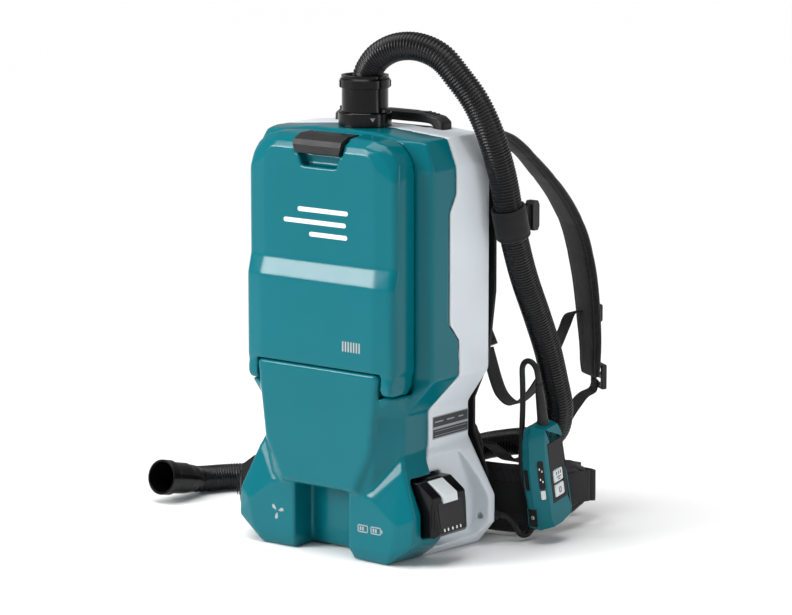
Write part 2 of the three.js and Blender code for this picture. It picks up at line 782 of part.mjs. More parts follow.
// ---------------------------------------------------------------- motor and electronics
function addMotor() {
  const motor = new THREE.Group();
  motor.position.set(0, -2, MOTOR_FLOOR_Z - 136);
  vacuum.add(motor);
  const cover = [
    [20, 226],
    [52, 226],
    [54, 222],
    [54, 192],
    [58, 190],
    [58, 186],
    [51, 186],
    [51, 221],
    [48, 223],
    [20, 223],
    [20, 226],
  ];
  add("fan_cover", turned(cover, [0, 0], 36), SATIN_BLACK, motor);
  const hub = [
    [0, 219],
    [9, 219],
    [13, 206],
    [47, 199],
    [47, 196.5],
    [10, 196.5],
    [10, 190],
    [3, 190],
    [3, 140],
    [0, 140],
  ];
  const blades = [];
  for (let i = 0; i < 7; i++) {
    const blade = new THREE.BoxGeometry(34, 1.6, 16);
    blade.rotateZ(0.35);
    blade.translate(28, 4, 206);
    blade.rotateZ((i * 2 * Math.PI) / 7);
    blades.push(solid(blade));
  }
  add("fan_rotor", join(turned(hub, [0, 0], 28), ...blades), STEEL, motor);
  const can = [
    [4, 142],
    [38, 142],
    [40, 146],
    [40, 184],
    [44, 184],
    [44, 187.4],
    [37, 187.4],
    [37, 148],
    [4, 148],
    [4, 142],
  ];
  add("motor_can", turned(can, [0, 0], 36), STEEL, motor);
  add("motor_mount", ring(46, 30, [136.4, 141.7], [0, 0], 32), RUBBER, motor);
}

function addElectronics() {
  add("control_board", box([-27, 27], [-6, -4.4], [24, 118]), BOARD);
  const { fromX, yLow, yHigh, zLow, zHigh } = CONTACT;
  const inside = (low, high) => [low + 0.4, high - 0.4];
  const terminal = (side) => {
    const span = spanX(side, inside(fromX, BAY.innerX + 0.8));
    return box(span, inside(yLow, yHigh), inside(zLow, zHigh));
  };
  addPair("battery_terminal", terminal, COPPER);
}

// ---------------------------------------------------------------- batteries
function addBatteries() {
  const { innerX, edgeX, yLow, yHigh, zLow, zHigh } = BATTERY;
  const face = [
    [innerX + 0.4, zLow],
    [edgeX - 5, zLow],
    [edgeX, zLow + 5],
    [edgeX - 7, zHigh - 15],
    [edgeX - 28, zHigh],
    [innerX + 0.4, zHigh],
  ];
  const buttonFace = [
    [edgeX - 26.5, zHigh - 0.2],
    [edgeX - 29, zHigh - 2],
    [edgeX - 9.5, zHigh - 17],
    [edgeX - 9, zHigh - 23.5],
    [edgeX - 3.6, zHigh - 23.5],
    [edgeX - 5, zHigh - 13.6],
  ];
  const pocketFace = [
    [edgeX - 27, zHigh + 3],
    [edgeX - 32.5, zHigh + 1],
    [edgeX - 32.5, zHigh - 3],
    [edgeX - 12.5, zHigh - 18.5],
    [edgeX - 12, zHigh - 27],
    [edgeX + 4, zHigh - 27],
    [edgeX + 4, zHigh - 11],
  ];
  addPair(
    "battery",
    (side) => {
      const body = prismY(onSide(side, face), [yLow, yHigh]);
      const rounding = [
        [yLow, 1],
        [yHigh, -1],
      ].map(([edge, inward]) => {
        const corner = [
          [edgeX + 2, edge - 2 * inward],
          [edgeX - 9, edge - 2 * inward],
          [edgeX - 9, edge],
          [edgeX - 5, edge + 1.4 * inward],
          [edgeX - 1, edge + 5 * inward],
          [edgeX + 2, edge + 9 * inward],
        ];
        return prismZ(onSide(side, corner), [30, 110]);
      });
      const pocket = prismY(onSide(side, pocketFace), [-32.4, -4.6]);
      const contactSlot = box(spanX(side, [innerX, innerX + 4]), [-39, -11], [80, 94]);
      return cut(body, ...rounding, pocket, contactSlot);
    },
    BLACK,
  );
  addPair("battery_release", (side) => prismY(onSide(side, buttonFace), [-32, -5]), LIGHT_BUTTON);
}

// ---------------------------------------------------------------- handle
function addHandle() {
  const half = [
    [80.5, 485],
    [80.5, 499],
    [72, 505],
    [50, 508.5],
  ];
  const inner = [
    [48, 496.5],
    [60, 496],
    [67, 492],
    [67, 485],
  ];
  const arch = [...mirrorX(half), ...half.toReversed(), ...inner.toReversed(), ...mirrorX(inner)];
  add("carry_handle", prismY(arch, [50.7, 69.9]), SATIN_BLACK);
}

// ---------------------------------------------------------------- harness
function addBackPlate() {
  const half = [
    [70, 18],
    [112, 26],
    [112, 84],
    [92, 130],
    [92, 170],
    [112, 215],
    [122, 300],
    [122, 430],
    [104, 478],
    [60, 486],
  ];
  const outline = [...half, ...mirrorX(half).reverse()];
  add("back_plate", prismY(outline, [PLATE.yLow, PLATE.yHigh]), SATIN_BLACK);
  const inset = outline.map(([x, z]) => [x * 0.9, 262 + (z - 262) * 0.9]);
  const thin = inset.map(([x, z]) => [x * 0.93, 262 + (z - 262) * 0.96]);
  const rings = [
    inset.map(([x, z]) => [x, PLATE.yHigh + GAP, z]),
    inset.map(([x, z]) => [x, PLATE.yHigh + 9, z]),
    thin.map(([x, z]) => [x, PLATE.yHigh + 15, z]),
  ];
  const layers = rings.slice(1).map((outer, i) => hull([...rings[i], ...outer]));
  const waist = [[105, 219.5], [84, 179], [84, 143], [105, 102], [140, 102], [140, 220]];
  const waistCuts = [1, -1].map((side) => prismY(onSide(side, waist), [90, 130]));
  add("back_pad", cut(join(...layers), ...waistCuts), FABRIC);
}

const SHOULDER_ROUTE = [
  [STRAP_X, 108, 477],
  [STRAP_X, 140, 477],
  [STRAP_X, 186, 452],
  [STRAP_X, 228, 420],
  [STRAP_X, 268, 383],
  [STRAP_X, 298, 340],
  [STRAP_X, 318, 282],
  [STRAP_X, 329, 217],
  [STRAP_X, 332, 160],
];

// From the ladder-lock buckle down and forward to the foot of the back plate.
const LOWER_WEBBING_ROUTE = [
  [STRAP_X, 336, 141],
  [STRAP_X, 318, 138],
  [STRAP_X, 302, 130],
  [STRAP_X, 286, 120],
  [STRAP_X, 258, 100],
  [STRAP_X, 226, 83],
  [STRAP_X, 195, 78],
  [STRAP_X, 165, 83],
  [STRAP_X, 143, 98],
  [STRAP_X, 119, 113],
];

// The straps turn their inner faces towards each other on the way down, by STRAP_TWIST in all.
const STRAP_TWIST = THREE.MathUtils.degToRad(34);

const twistedAcross = (side) => (t) => {
  const turn = STRAP_TWIST * Math.min(1, t / 0.22);
  return [Math.cos(turn), -side * Math.sin(turn), 0];
};

// A body built about the strap's middle line, turned with the strap's lower end.
function onStrapEnd(side, body) {
  const middle = [side * STRAP_X, STRAP_END_Y, 0];
  return moved(body, place(middle, [0, 0, -side * STRAP_TWIST]).multiply(place(middle).invert()));
}

function addShoulderStraps() {
  const sizes = [[44, 10], [54, 12], [60, 13], [62, 13], [60, 13], [50, 12]];
  const build = (side) => strap(onSide(side, SHOULDER_ROUTE), twistedAcross(side), sizes, 14);
  addPair("shoulder_strap", build, FABRIC);
  addPair("strap_buckle", (side) => ladderLock(side), SATIN_BLACK);
  const slider = (side) => box(spanX(side, [STRAP_X - 17, STRAP_X + 17]), [335.5, 341.5], [229, 251]);
  addPair("chest_slider", (side) => onStrapEnd(side, slider(side)), SATIN_BLACK);
}

// A ladder-lock buckle: a frame with two bars.
function ladderLock(side) {
  const outer = box(spanX(side, [STRAP_X - 19, STRAP_X + 19]), [339.2, 346.2], [145, 176]);
  const upperSlot = box(spanX(side, [STRAP_X - 14, STRAP_X + 14]), [330, 360], [164, 171]);
  const lowerSlot = box(spanX(side, [STRAP_X - 14, STRAP_X + 14]), [330, 360], [151, 158]);
  return onStrapEnd(side, cut(outer, upperSlot, lowerSlot));
}

// The slack strap across the chest, hanging in a U between the two sliders. Its buckle sits on the left.
const CHEST_ROUTES = {
  right: [
    [72.6, 319, 237],
    [67, 314, 218],
    [54, 309, 184],
    [36, 305, 149],
    [18, 303, 127],
    [1.4, 302, 117.5],
    [-15, 302.5, 124],
    [-27, 304, 140],
    [-45, 307.6, 181.4],
  ],
  left: [
    [-72.6, 319, 237],
    [-69, 314.5, 229],
    [-64.2, 311, 218.6],
  ],
};
const CHEST_BUCKLE = { middle: [-54.6, 309.2, 200], lean: THREE.MathUtils.degToRad(-27) };

function addChestStrap() {
  const size = [25, 2];
  for (const [end, route] of Object.entries(CHEST_ROUTES)) {
    add(`chest_webbing_${end}`, strap(route, Y, [size, size], 14), WEBBING);
  }
  const slots = [[-16, -11], [11, 16]].map((span) => box([-10, 10], [-13.5, 13.5], span));
  const seam = [-1, 1].map((face) => box(spanX(face, [4, 10]), [-20, 20], [-0.6, 0.6]));
  const frame = box([-4.6, 4.6], [-16.5, 16.5], [-19, 19]);
  const buckle = cut(frame, ...slots, ...seam);
  add("chest_buckle", moved(buckle, place(CHEST_BUCKLE.middle, [0, CHEST_BUCKLE.lean, 0])), SATIN_BLACK);
}

function addLowerWebbings() {
  const size = [25, 2.4];
  const build = (side) => strap(onSide(side, LOWER_WEBBING_ROUTE), X, [size, size], 16);
  addPair("lower_webbing", build, WEBBING);
}

// A padded wing of the hip belt, from the foot of the back plate round to the wearer's side.
const WING_ROUTE = {
  right: [
    [60, 127, 46],
    [100, 129, 46],
    [132, 140, 46],
    [149, 165, 48],
    [153, 200, 51],
    [151, 240, 47],
  ],
  left: [
    [-60, 127, 46],
    [-100, 129, 46],
    [-132, 140, 54],
    [-149, 165, 70],
    [-153, 200, 74],
    [-151, 240, 64],
  ],
};
const WING_SIZES = [[82, 15], [84, 15], [84, 15], [78, 15], [68, 14], [48, 12]];

// The belt's webbing, from the end of each wing round towards the buckle at the wearer's front.
const HIP_WEBBING = [
  [151, 241.2, 0],
  [154, 250, -2],
  [153.5, 259.5, -3.5],
  [143, 264.5, -4],
  [126, 265, -4],
];

// The two halves of the belt's buckle, both lying along X: a socket on the right, prongs on the left.
function hipBuckle(side, z) {
  const thick = [259, 271];
  const across = (half) => [z - half, z + half];
  const at = (span) => spanX(side, span);
  const slot = box(at([114, 120]), [250, 280], across(19.5));
  if (side > 0) {
    const mouth = box(at([80, 108]), [261.5, 268.5], across(18));
    const windows = box(at([92, 103]), [261.5, 268.5], across(30));
    return cut(box(at([87, 125.4]), thick, across(23)), slot, mouth, windows);
  }
  const prongs = [-1, 1].map((edge) => {
    const outline = [
      [-106, edge * 11],
      [-86, edge * 12.5],
      [-84, edge * 15],
      [-95, edge * 19],
      [-97, edge * 16.5],
      [-106, edge * 16.5],
    ];
    return prismY(outline.map(([x, offset]) => [x, z + offset]), [262, 268]);
  });
  const tongue = box(at([82, 106]), [262, 268], across(4));
  return cut(join(box(at([105, 125.4]), thick, across(23)), ...prongs, tongue), slot);
}

function addHipBelt() {
  for (const [end, route] of Object.entries(WING_ROUTE)) {
    const side = end === "right" ? 1 : -1;
    const belt = route.at(-1)[2];
    const webbing = onSide(side, HIP_WEBBING).map(([x, y, drop]) => [x, y, belt + drop]);
    const size = [38, 2.6];
    add(`hip_wing_${end}`, strap(route, Z, WING_SIZES, 14), FABRIC);
    add(`hip_webbing_${end}`, strap(webbing, Z, [size, size], 12), WEBBING);
    add(`hip_buckle_${end}`, hipBuckle(side, belt - 4), SATIN_BLACK);
  }
}

// ---------------------------------------------------------------- control box on the right hip belt
const CONTROL = { x: 161, y: 133, z: 82, lean: 11, depth: 26 };

const BUTTON_ROWS = [[-7.5, 8.5], [-25.5, -9.5]];

// The tapered rubber sleeve on top of the box.
const RELIEF = {
  x: 14,
  y: 1,
  profile: [[3.7, 52], [7, 52], [7, 69], [6.4, 72], [4.6, 114], [3.7, 114], [3.7, 52]],
};

// The case's outline from the side: [y, z] about its middle, front edge first.
const CASE_OUTLINE = [
  [-20, 66],
  [-28, 50],
  [-32, 20],
  [-32, -8],
  [-30, -50],
  [-24, -62],
  [2, -62],
  [22, -57],
  [25, -50],
  [24, -36],
  [20, 52],
  [14, 65],
];

function addControlBox() {
  const group = new THREE.Group();
  group.position.set(CONTROL.x, CONTROL.y, CONTROL.z);
  group.rotation.set(THREE.MathUtils.degToRad(CONTROL.lean), 0, 0);
  vacuum.add(group);
  const narrower = (share) => CASE_OUTLINE.map(([y, z]) => [y * share, z * share]);
  const layer = (outline, x) => outline.map(([y, z]) => [x, y, z]);
  const back = hull([...layer(narrower(0.94), 0), ...layer(CASE_OUTLINE, 4), ...layer(CASE_OUTLINE, 9)]);
  const shoulder = CASE_OUTLINE.map(([y, z]) => [y < 0 ? y * 0.86 : y * 0.98, z * 0.98]);
  const top = CASE_OUTLINE.map(([y, z]) => [y < 0 ? y * 0.6 : y * 0.92, z * 0.95]);
  const front = hull([
    ...layer(CASE_OUTLINE, 9 + GAP),
    ...layer(CASE_OUTLINE, 12),
    ...layer(shoulder, 17),
    ...layer(top, CONTROL.depth),
  ]);
  const room = hull([...layer(narrower(0.86), 3), ...layer(narrower(0.86), 16)]);
  const cableSeat = disc(7.4, [50, 80], [RELIEF.x, RELIEF.y], 20);
  const panelSeat = box([CONTROL.depth - 1.4, CONTROL.depth + 4], [-11.3, 18.3], [-30.3, 44.3]);
  const buttonBores = BUTTON_ROWS.map(([z0, z1]) =>
    box([5, CONTROL.depth + 4], [-7 + GAP, 12.5], [z0 - 0.5, z1 + 0.5]),
  );
  add("control_case_back", cut(back, room, cableSeat), TEAL, group);
  const cutouts = [room, cableSeat, panelSeat, ...buttonBores, gaugeSlot()];
  add("control_case_front", cut(front, ...cutouts), TEAL, group);
  const panel = box([CONTROL.depth - 1.1, CONTROL.depth + 0.3], [-11, 18], [-30, 44]);
  add("control_panel", cut(panel, ...buttonBores), BLACK, group);
  const button = (row) => box([CONTROL.depth - 7, CONTROL.depth + 1.2], [-6.2, 12], row);
  add("mode_button", button(BUTTON_ROWS[0]), LIGHT_BUTTON, group);
  add("power_button", button(BUTTON_ROWS[1]), LIGHT_BUTTON, group);
  add("gauge_button", gaugeKey(), LIGHT_BUTTON, group);
  add("belt_hook", box([-2.4, -GAP], [-14, 14], [-40, 40]), SATIN_BLACK, group);
  const relief = turned(RELIEF.profile, [RELIEF.x, RELIEF.y], 20);
  add("strain_relief", relief, RUBBER, group);
}

// The bevel between the case's side and its face, where the charge gauge's key sits.
const BEVEL = { middle: [20.7, -22.5, -16], turn: THREE.MathUtils.degToRad(47.3) };

const onBevel = (body) => moved(body, place(BEVEL.middle, [0, 0, -BEVEL.turn]));
const gaugeSlot = () => onBevel(box([-6, 8], [-3.4, 3.4], [-6, 6]));
const gaugeKey = () => onBevel(box([-4, 2.2], [-3, 3], [-5.6, 5.6]));

// The control cable, from the grommet in the foot to the inside of the strain relief.
const CABLE_ROUTE = [
  [129.7, 96.5, 34],
  [134, 101.4, 32.6],
  [139, 107, 28.2],
  [142.6, 111.6, 20.5],
  [144.6, 115.4, 12.2],
  [146, 120.2, 7.6],
  [147.4, 126.2, 6.4],
  [148.6, 132, 8.4],
  [149.6, 136, 13.4],
  [150.2, 137.6, 20.5],
  [150.3, 135.6, 33],
  [150, 129.6, 49],
  [150, 121.2, 66],
  [150, 115.2, 85],
  [150, 113, 107],
  [150, 114.3, 136],
  [150.2, 115.2, 165],
  [150.6, 114.2, 190],
  [151.2, 112.4, 206.5],
  [153.2, 111, 213.6],
  [157.4, 109.8, 218.4],
  [163.1, 109.2, 220.2],
  [168.8, 109, 218.3],
  [173.1, 109.2, 213.4],
  [174.9, 110.1, 206],
  [175, 112.2, 194],
  [175, 118, 164],
  [175, 123.4, 136.5],
];

// The grommet in the foot's rear chamfer, its axis square to that face.
const GROMMET = { at: [129.3, 96, 34], heading: Math.atan2(10.5, 9), radius: 4.1 };

const grommetPlace = () => place(GROMMET.at, [0, Math.PI / 2, GROMMET.heading]);

function addCable() {
  const { radius } = GROMMET;
  const profile = [
    [0, -9],
    [radius, -9],
    [radius, -2.2],
    [radius + 1.5, -2.2],
    [radius + 1.5, -0.4],
    [radius + 0.5, 0],
    [0, 0],
  ];
  add("control_cable", cord(CABLE_ROUTE, CABLE), RUBBER);
  add("cable_grommet", moved(turned(profile, [0, 0], 16), grommetPlace()), RUBBER);
}

// ---------------------------------------------------------------- assembly
addShells();
addDustCover();
addLatch();
addGasket();
addInlet();
addCoupling();
addHose();
addHoseBand();
addBag();
addFilter();
addMotor();
addElectronics();
addBatteries();
addHandle();
addBackPlate();
addShoulderStraps();
addLowerWebbings();
addChestStrap();
addHipBelt();
addControlBox();
addCable();

export default vacuum;
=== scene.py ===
"""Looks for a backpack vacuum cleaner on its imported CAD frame. Metres, +Z up, the body's front faces -Y."""

import json
import math

import bmesh
import bpy
import numpy as np
from mathutils import Matrix, Vector, noise


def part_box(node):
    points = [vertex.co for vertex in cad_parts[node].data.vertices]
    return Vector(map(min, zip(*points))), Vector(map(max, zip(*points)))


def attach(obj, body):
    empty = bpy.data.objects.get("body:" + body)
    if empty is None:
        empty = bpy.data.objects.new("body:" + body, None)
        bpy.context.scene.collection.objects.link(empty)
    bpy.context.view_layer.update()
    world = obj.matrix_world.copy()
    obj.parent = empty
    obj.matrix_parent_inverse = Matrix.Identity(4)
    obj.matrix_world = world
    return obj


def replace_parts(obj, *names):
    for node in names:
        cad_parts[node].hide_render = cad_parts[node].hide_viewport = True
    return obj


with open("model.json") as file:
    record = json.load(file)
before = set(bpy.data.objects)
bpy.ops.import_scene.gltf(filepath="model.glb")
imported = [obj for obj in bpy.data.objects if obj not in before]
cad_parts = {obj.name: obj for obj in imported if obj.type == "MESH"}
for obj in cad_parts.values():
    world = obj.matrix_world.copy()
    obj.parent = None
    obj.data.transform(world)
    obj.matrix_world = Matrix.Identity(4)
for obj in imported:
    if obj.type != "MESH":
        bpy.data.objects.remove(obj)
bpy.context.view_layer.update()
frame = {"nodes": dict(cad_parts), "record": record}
nodes = frame["nodes"]
MM = 0.001
HOSE_RADIUS = 16.5 * MM
HOSE_BORE = 13.6 * MM
CABLE_RADIUS = 3.4 * MM
WELD_GAP = 0.02 * MM
# These two are in millimetres, as every route and outline below is.
INLET_Y = 8.3
STRAP_X = 95


# ---------------------------------------------------------------- camera
def make_camera(place, azimuth, elevation, lens):
    """A camera with no roll, at an azimuth round from -Y and an elevation above the horizon."""
    data = bpy.data.cameras.new("camera")
    data.lens, data.sensor_width, data.clip_end = lens, 36, 50
    camera = bpy.data.objects.new("camera", data)
    a, e = math.radians(azimuth), math.radians(elevation)
    back = Vector((math.sin(a) * math.cos(e), -math.cos(a) * math.cos(e), math.sin(e)))
    camera.location = place
    camera.rotation_euler = (-back).to_track_quat("-Z", "Y").to_euler()
    bpy.context.scene.collection.objects.link(camera)
    bpy.context.scene.camera = camera


make_camera((2.50262, -3.11644, 0.99715), 38.18, 10.16, 158.32)


# ---------------------------------------------------------------- materials
class Shader:
    """One procedural material. Constants sit on the shader's own sockets; only patterns are linked."""

    def __init__(self, name, color, roughness, **settings):
        self.material = bpy.data.materials.new(name)
        self.material.use_nodes = True
        self.tree = self.material.node_tree
        self.surface = self.tree.nodes["Principled BSDF"]
        self.color = color
        self.surface.inputs["Base Color"].default_value = (*color, 1)
        self.surface.inputs["Roughness"].default_value = roughness
        for key, value in settings.items():
            self.surface.inputs[key.replace("_", " ")].default_value = value
        self.place = self.node("ShaderNodeTexCoord").outputs["Object"]
        self.normal = None

    def node(self, kind, inputs=None, **settings):
        made = self.tree.nodes.new(kind)
        for key, value in settings.items():
            setattr(made, key, value)
        for key, value in (inputs or {}).items():
            if isinstance(value, bpy.types.NodeSocket):
                self.tree.links.new(value, made.inputs[key])
            else:
                made.inputs[key].default_value = value
        return made

    def link(self, value, socket):
        self.tree.links.new(value, self.surface.inputs[socket])

    def noise(self, scale, detail=2.0):
        inputs = {"Vector": self.place, "Scale": scale, "Detail": detail}
        return self.node("ShaderNodeTexNoise", inputs).outputs["Fac"]

    def cells(self, scale, randomness):
        inputs = {"Vector": self.place, "Scale": scale, "Randomness": randomness}
        return self.node("ShaderNodeTexVoronoi", inputs).outputs["Distance"]

    def spread(self, value, low, high, start=0.3, end=0.7):
        inputs = {"Value": value, "From Min": start, "From Max": end, "To Min": low, "To Max": high}
        return self.node("ShaderNodeMapRange", inputs).outputs["Result"]

    def mottle(self, share, light, dark):
        """The colour runs from dark to light times the base colour as share goes from 0 to 1."""
        mix = self.node("ShaderNodeMix", {0: share}, data_type="RGBA")
        mix.inputs[6].default_value = (*(c * dark for c in self.color), 1)
        mix.inputs[7].default_value = (*(min(1, c * light) for c in self.color), 1)
        self.link(mix.outputs[2], "Base Color")

    def rough(self, share, low, high):
        self.link(self.spread(share, low, high), "Roughness")

    def bump(self, height, strength, distance):
        inputs = {"Height": height, "Strength": strength, "Distance": distance}
        if self.normal:
            inputs["Normal"] = self.normal
        self.normal = self.node("ShaderNodeBump", inputs).outputs["Normal"]
        self.link(self.normal, "Normal")

    def wave(self, across, along):
        """A sine over the UV map, whose units are metres: across and along are turns per metre."""
        uv = self.node("ShaderNodeTexCoord").outputs["UV"]
        parts = self.node("ShaderNodeSeparateXYZ", {0: uv}).outputs
        first = self.node("ShaderNodeMath", {0: parts["X"], 1: across * math.tau}, operation="MULTIPLY")
        both = self.node(
            "ShaderNodeMath",
            {0: parts["Y"], 1: along * math.tau, 2: first.outputs[0]},
            operation="MULTIPLY_ADD",
        )
        return self.node("ShaderNodeMath", {0: both.outputs[0]}, operation="SINE").outputs[0]


def moulded(name, color, low, high, grain=900, depth=0.08, **settings):
    """Moulded plastic: faint mottle, uneven gloss and the mould's grain."""
    shader = Shader(name, color, (low + high) / 2, **settings)
    shader.mottle(shader.spread(shader.noise(7, 3), 0, 1), 1.05, 0.95)
    shader.rough(shader.noise(38, 4), low, high)
    shader.bump(shader.noise(grain, 2), depth, 0.0002)
    return shader.material


def woven(name, color, pitch=1.5 * MM):
    """Webbing: a twill of crossing waves over the UV map, with fibre noise."""
    shader = Shader(name, color, 0.82, Sheen_Weight=0.1, Sheen_Roughness=0.45, Specular_IOR_Level=0.3)
    left, right = shader.wave(1 / pitch, 0.6 / pitch), shader.wave(1 / pitch, -0.6 / pitch)
    weave = shader.node("ShaderNodeMath", {0: left, 1: right}, operation="MULTIPLY").outputs[0]
    shader.mottle(shader.spread(weave, 0, 1, -1, 1), 1.9, 0.5)
    shader.bump(weave, 0.55, 0.0005)
    shader.bump(shader.noise(1400, 2), 0.25, 0.0003)
    return shader.material


def mesh_cloth(name, color):
    """Spacer mesh over foam: open cells between knitted yarns, with a soft sheen."""
    shader = Shader(name, color, 0.85, Sheen_Weight=0.12, Sheen_Roughness=0.5, Specular_IOR_Level=0.3)
    cells = shader.cells(420, 0.25)
    shader.mottle(shader.spread(cells, 0, 1, 0.15, 0.6), 2.6, 0.35)
    shader.bump(cells, 0.7, 0.0009)
    shader.bump(shader.noise(90, 2), 0.3, 0.0015)
    return shader.material


def plain_cloth(name, color):
    """A tight plain weave."""
    shader = Shader(name, color, 0.8, Sheen_Weight=0.12, Sheen_Roughness=0.4, Specular_IOR_Level=0.3)
    threads = shader.cells(1100, 0.4)
    shader.mottle(shader.spread(threads, 0, 1, 0.1, 0.7), 1.6, 0.6)
    shader.bump(threads, 0.5, 0.0005)
    shader.bump(shader.noise(60, 2), 0.2, 0.002)
    return shader.material


def rubbery(name, color, roughness):
    """Rubber: dull, with a powdery bloom."""
    shader = Shader(name, color, roughness, Specular_IOR_Level=0.3)
    shader.mottle(shader.spread(shader.noise(55, 4), 0, 1), 1.35, 0.8)
    shader.rough(shader.noise(90, 3), roughness - 0.12, roughness + 0.08)
    shader.bump(shader.noise(700, 3), 0.12, 0.0004)
    return shader.material


def metal(name, color, low, high):
    """Metal with fine drawn lines and uneven polish."""
    shader = Shader(name, color, (low + high) / 2, Metallic=1.0)
    stretched = shader.node("ShaderNodeMapping", {"Vector": shader.place, "Scale": (40, 900, 900)})
    grain = shader.node("ShaderNodeTexNoise", {"Vector": stretched.outputs[0], "Scale": 1.0})
    shader.rough(grain.outputs["Fac"], low, high)
    shader.bump(grain.outputs["Fac"], 0.1, 0.0002)
    shader.mottle(shader.spread(shader.noise(25, 3), 0, 1), 1.05, 0.85)
    return shader.material


def hose_plastic(name):
    """Glossy ribbed hose: shiny crests, and dust that dulls it in patches."""
    shader = Shader(name, (0.004, 0.004, 0.005), 0.25, Specular_IOR_Level=0.35)
    shader.mottle(shader.spread(shader.noise(30, 4), 0, 1), 1.5, 0.7)
    shader.rough(shader.noise(45, 4), 0.18, 0.34)
    shader.bump(shader.noise(600, 2), 0.06, 0.0003)
    return shader.material


def paper(name, color, scale):
    """Fleece or filter paper: matted fibres."""
    shader = Shader(name, color, 0.95, Subsurface_Weight=0.05)
    shader.mottle(shader.spread(shader.noise(scale, 6), 0, 1), 1.08, 0.82)
    shader.bump(shader.noise(scale * 4, 6), 0.5, 0.0008)
    return shader.material


def printed(name, color):
    """Ink printed on plastic."""
    shader = Shader(name, color, 0.5)
    shader.mottle(shader.spread(shader.noise(500, 3), 0, 1), 1.04, 0.9)
    shader.bump(shader.noise(900, 2), 0.05, 0.0002)
    return shader.material


def studio_floor():
    """A seamless pale sweep: matt, with only the faintest cloudiness."""
    shader = Shader("floor_pale", (0.96, 0.96, 0.96), 1.0, Specular_IOR_Level=0.0)
    shader.mottle(shader.spread(shader.noise(0.8, 1), 0, 1), 1.0, 0.995)
    return shader.material


TEAL = (0.0001, 0.13, 0.161)
SLOTS = {
    "teal_shell": moulded("teal_shell", TEAL, 0.13, 0.18, 500, 0.015, Specular_IOR_Level=0.22),
    "grey_shell": moulded("grey_shell", (0.68, 0.73, 0.77), 0.34, 0.46, 1100, 0.1),
    "gloss_black_plastic": moulded(
        "gloss_black_plastic", (0.003, 0.003, 0.0035), 0.14, 0.24, 900, 0.03, Specular_IOR_Level=0.22
    ),
    "satin_black_plastic": moulded(
        "satin_black_plastic", (0.010, 0.010, 0.011), 0.36, 0.5, 1500, 0.18, Specular_IOR_Level=0.35
    ),
    "hose_plastic": hose_plastic("hose_plastic"),
    "light_button": moulded("light_button", (0.68, 0.72, 0.74), 0.36, 0.48, 1200, 0.08),
    "rubber_seal": rubbery("rubber_seal", (0.016, 0.016, 0.016), 0.8),
    "cable_rubber": rubbery("cable_rubber", (0.009, 0.009, 0.010), 0.5),
    "mesh_padding": mesh_cloth("mesh_padding", (0.007, 0.007, 0.008)),
    "harness_fabric": plain_cloth("harness_fabric", (0.010, 0.010, 0.011)),
    "webbing": woven("webbing", (0.008, 0.008, 0.009)),
    "bag_paper": paper("bag_paper", (0.62, 0.56, 0.42), 90),
    "filter_media": paper("filter_media", (0.8, 0.81, 0.79), 160),
    "steel": metal("steel", (0.55, 0.56, 0.58), 0.22, 0.42),
    "fan_metal": metal("fan_metal", (0.7, 0.71, 0.73), 0.2, 0.4),
    "circuit_board": moulded("circuit_board", (0.02, 0.13, 0.05), 0.3, 0.5, 600, 0.2),
    "contact_copper": metal("contact_copper", (0.6, 0.38, 0.18), 0.25, 0.45),
}
WHITE_INK = printed("white_ink", (0.8, 0.82, 0.83))
GREY_INK = printed("grey_ink", (0.36, 0.38, 0.39))
DARK_INK = printed("dark_ink", (0.035, 0.037, 0.04))
FLOOR_PALE = studio_floor()


# ---------------------------------------------------------------- mesh helpers
def piece(name, points, faces, slot, uvs=None, material=None):
    """A smooth mesh that rides on the root body and takes its finish from a record slot."""
    mesh = bpy.data.meshes.new(name)
    mesh.from_pydata([tuple(p) for p in points], [], faces)
    mesh.polygons.foreach_set("use_smooth", [True] * len(mesh.polygons))
    if uvs is not None:
        layer = mesh.uv_layers.new(name="UVMap")
        layer.data.foreach_set("uv", np.array(uvs)[[i for f in faces for i in f]].ravel())
    mesh.materials.append(material or SLOTS[slot])
    made = bpy.data.objects.new(name, mesh)
    bpy.context.scene.collection.objects.link(made)
    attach(made, "root")
    return made


def smooth_line(route, spacing):
    """Evenly spaced points on the smooth curve through route, and their distance along it."""
    p = np.array(route, float)
    p = np.vstack([2 * p[0] - p[1], p, 2 * p[-1] - p[-2]])
    t = np.linspace(0, 1, 40, endpoint=False)[:, None]
    parts = []
    for a, b, c, d in zip(p, p[1:], p[2:], p[3:]):
        parts.append(
            b + (c - a) / 2 * t + (a - 2.5 * b + 2 * c - d / 2) * t**2 + (1.5 * (b - c) + (d - a) / 2) * t**3
        )
    line = np.vstack([*parts, p[-2][None]])
    along = np.concatenate([[0], np.cumsum(np.linalg.norm(np.diff(line, axis=0), axis=1))])
    at = np.linspace(0, along[-1], max(2, round(along[-1] / spacing) + 1))
    return np.stack([np.interp(at, along, line[:, k]) for k in range(3)], axis=1), at


def unit(v):
    return v / np.maximum(np.linalg.norm(v, axis=-1, keepdims=True), 1e-12)


def ringed(name, rings, slot, uvs=None, closed=True):
    """A mesh over rings of points, capped at its two ends if closed."""
    count = len(rings[0])
    points = np.concatenate(rings)
    faces = [
        (i * count + j, i * count + (j + 1) % count, (i + 1) * count + (j + 1) % count, (i + 1) * count + j)
        for i in range(len(rings) - 1)
        for j in range(count)
    ]
    if closed:
        faces += [tuple(range(count))[::-1], tuple(range(len(points) - count, len(points)))]
    return piece(name, points, faces, slot, uvs)


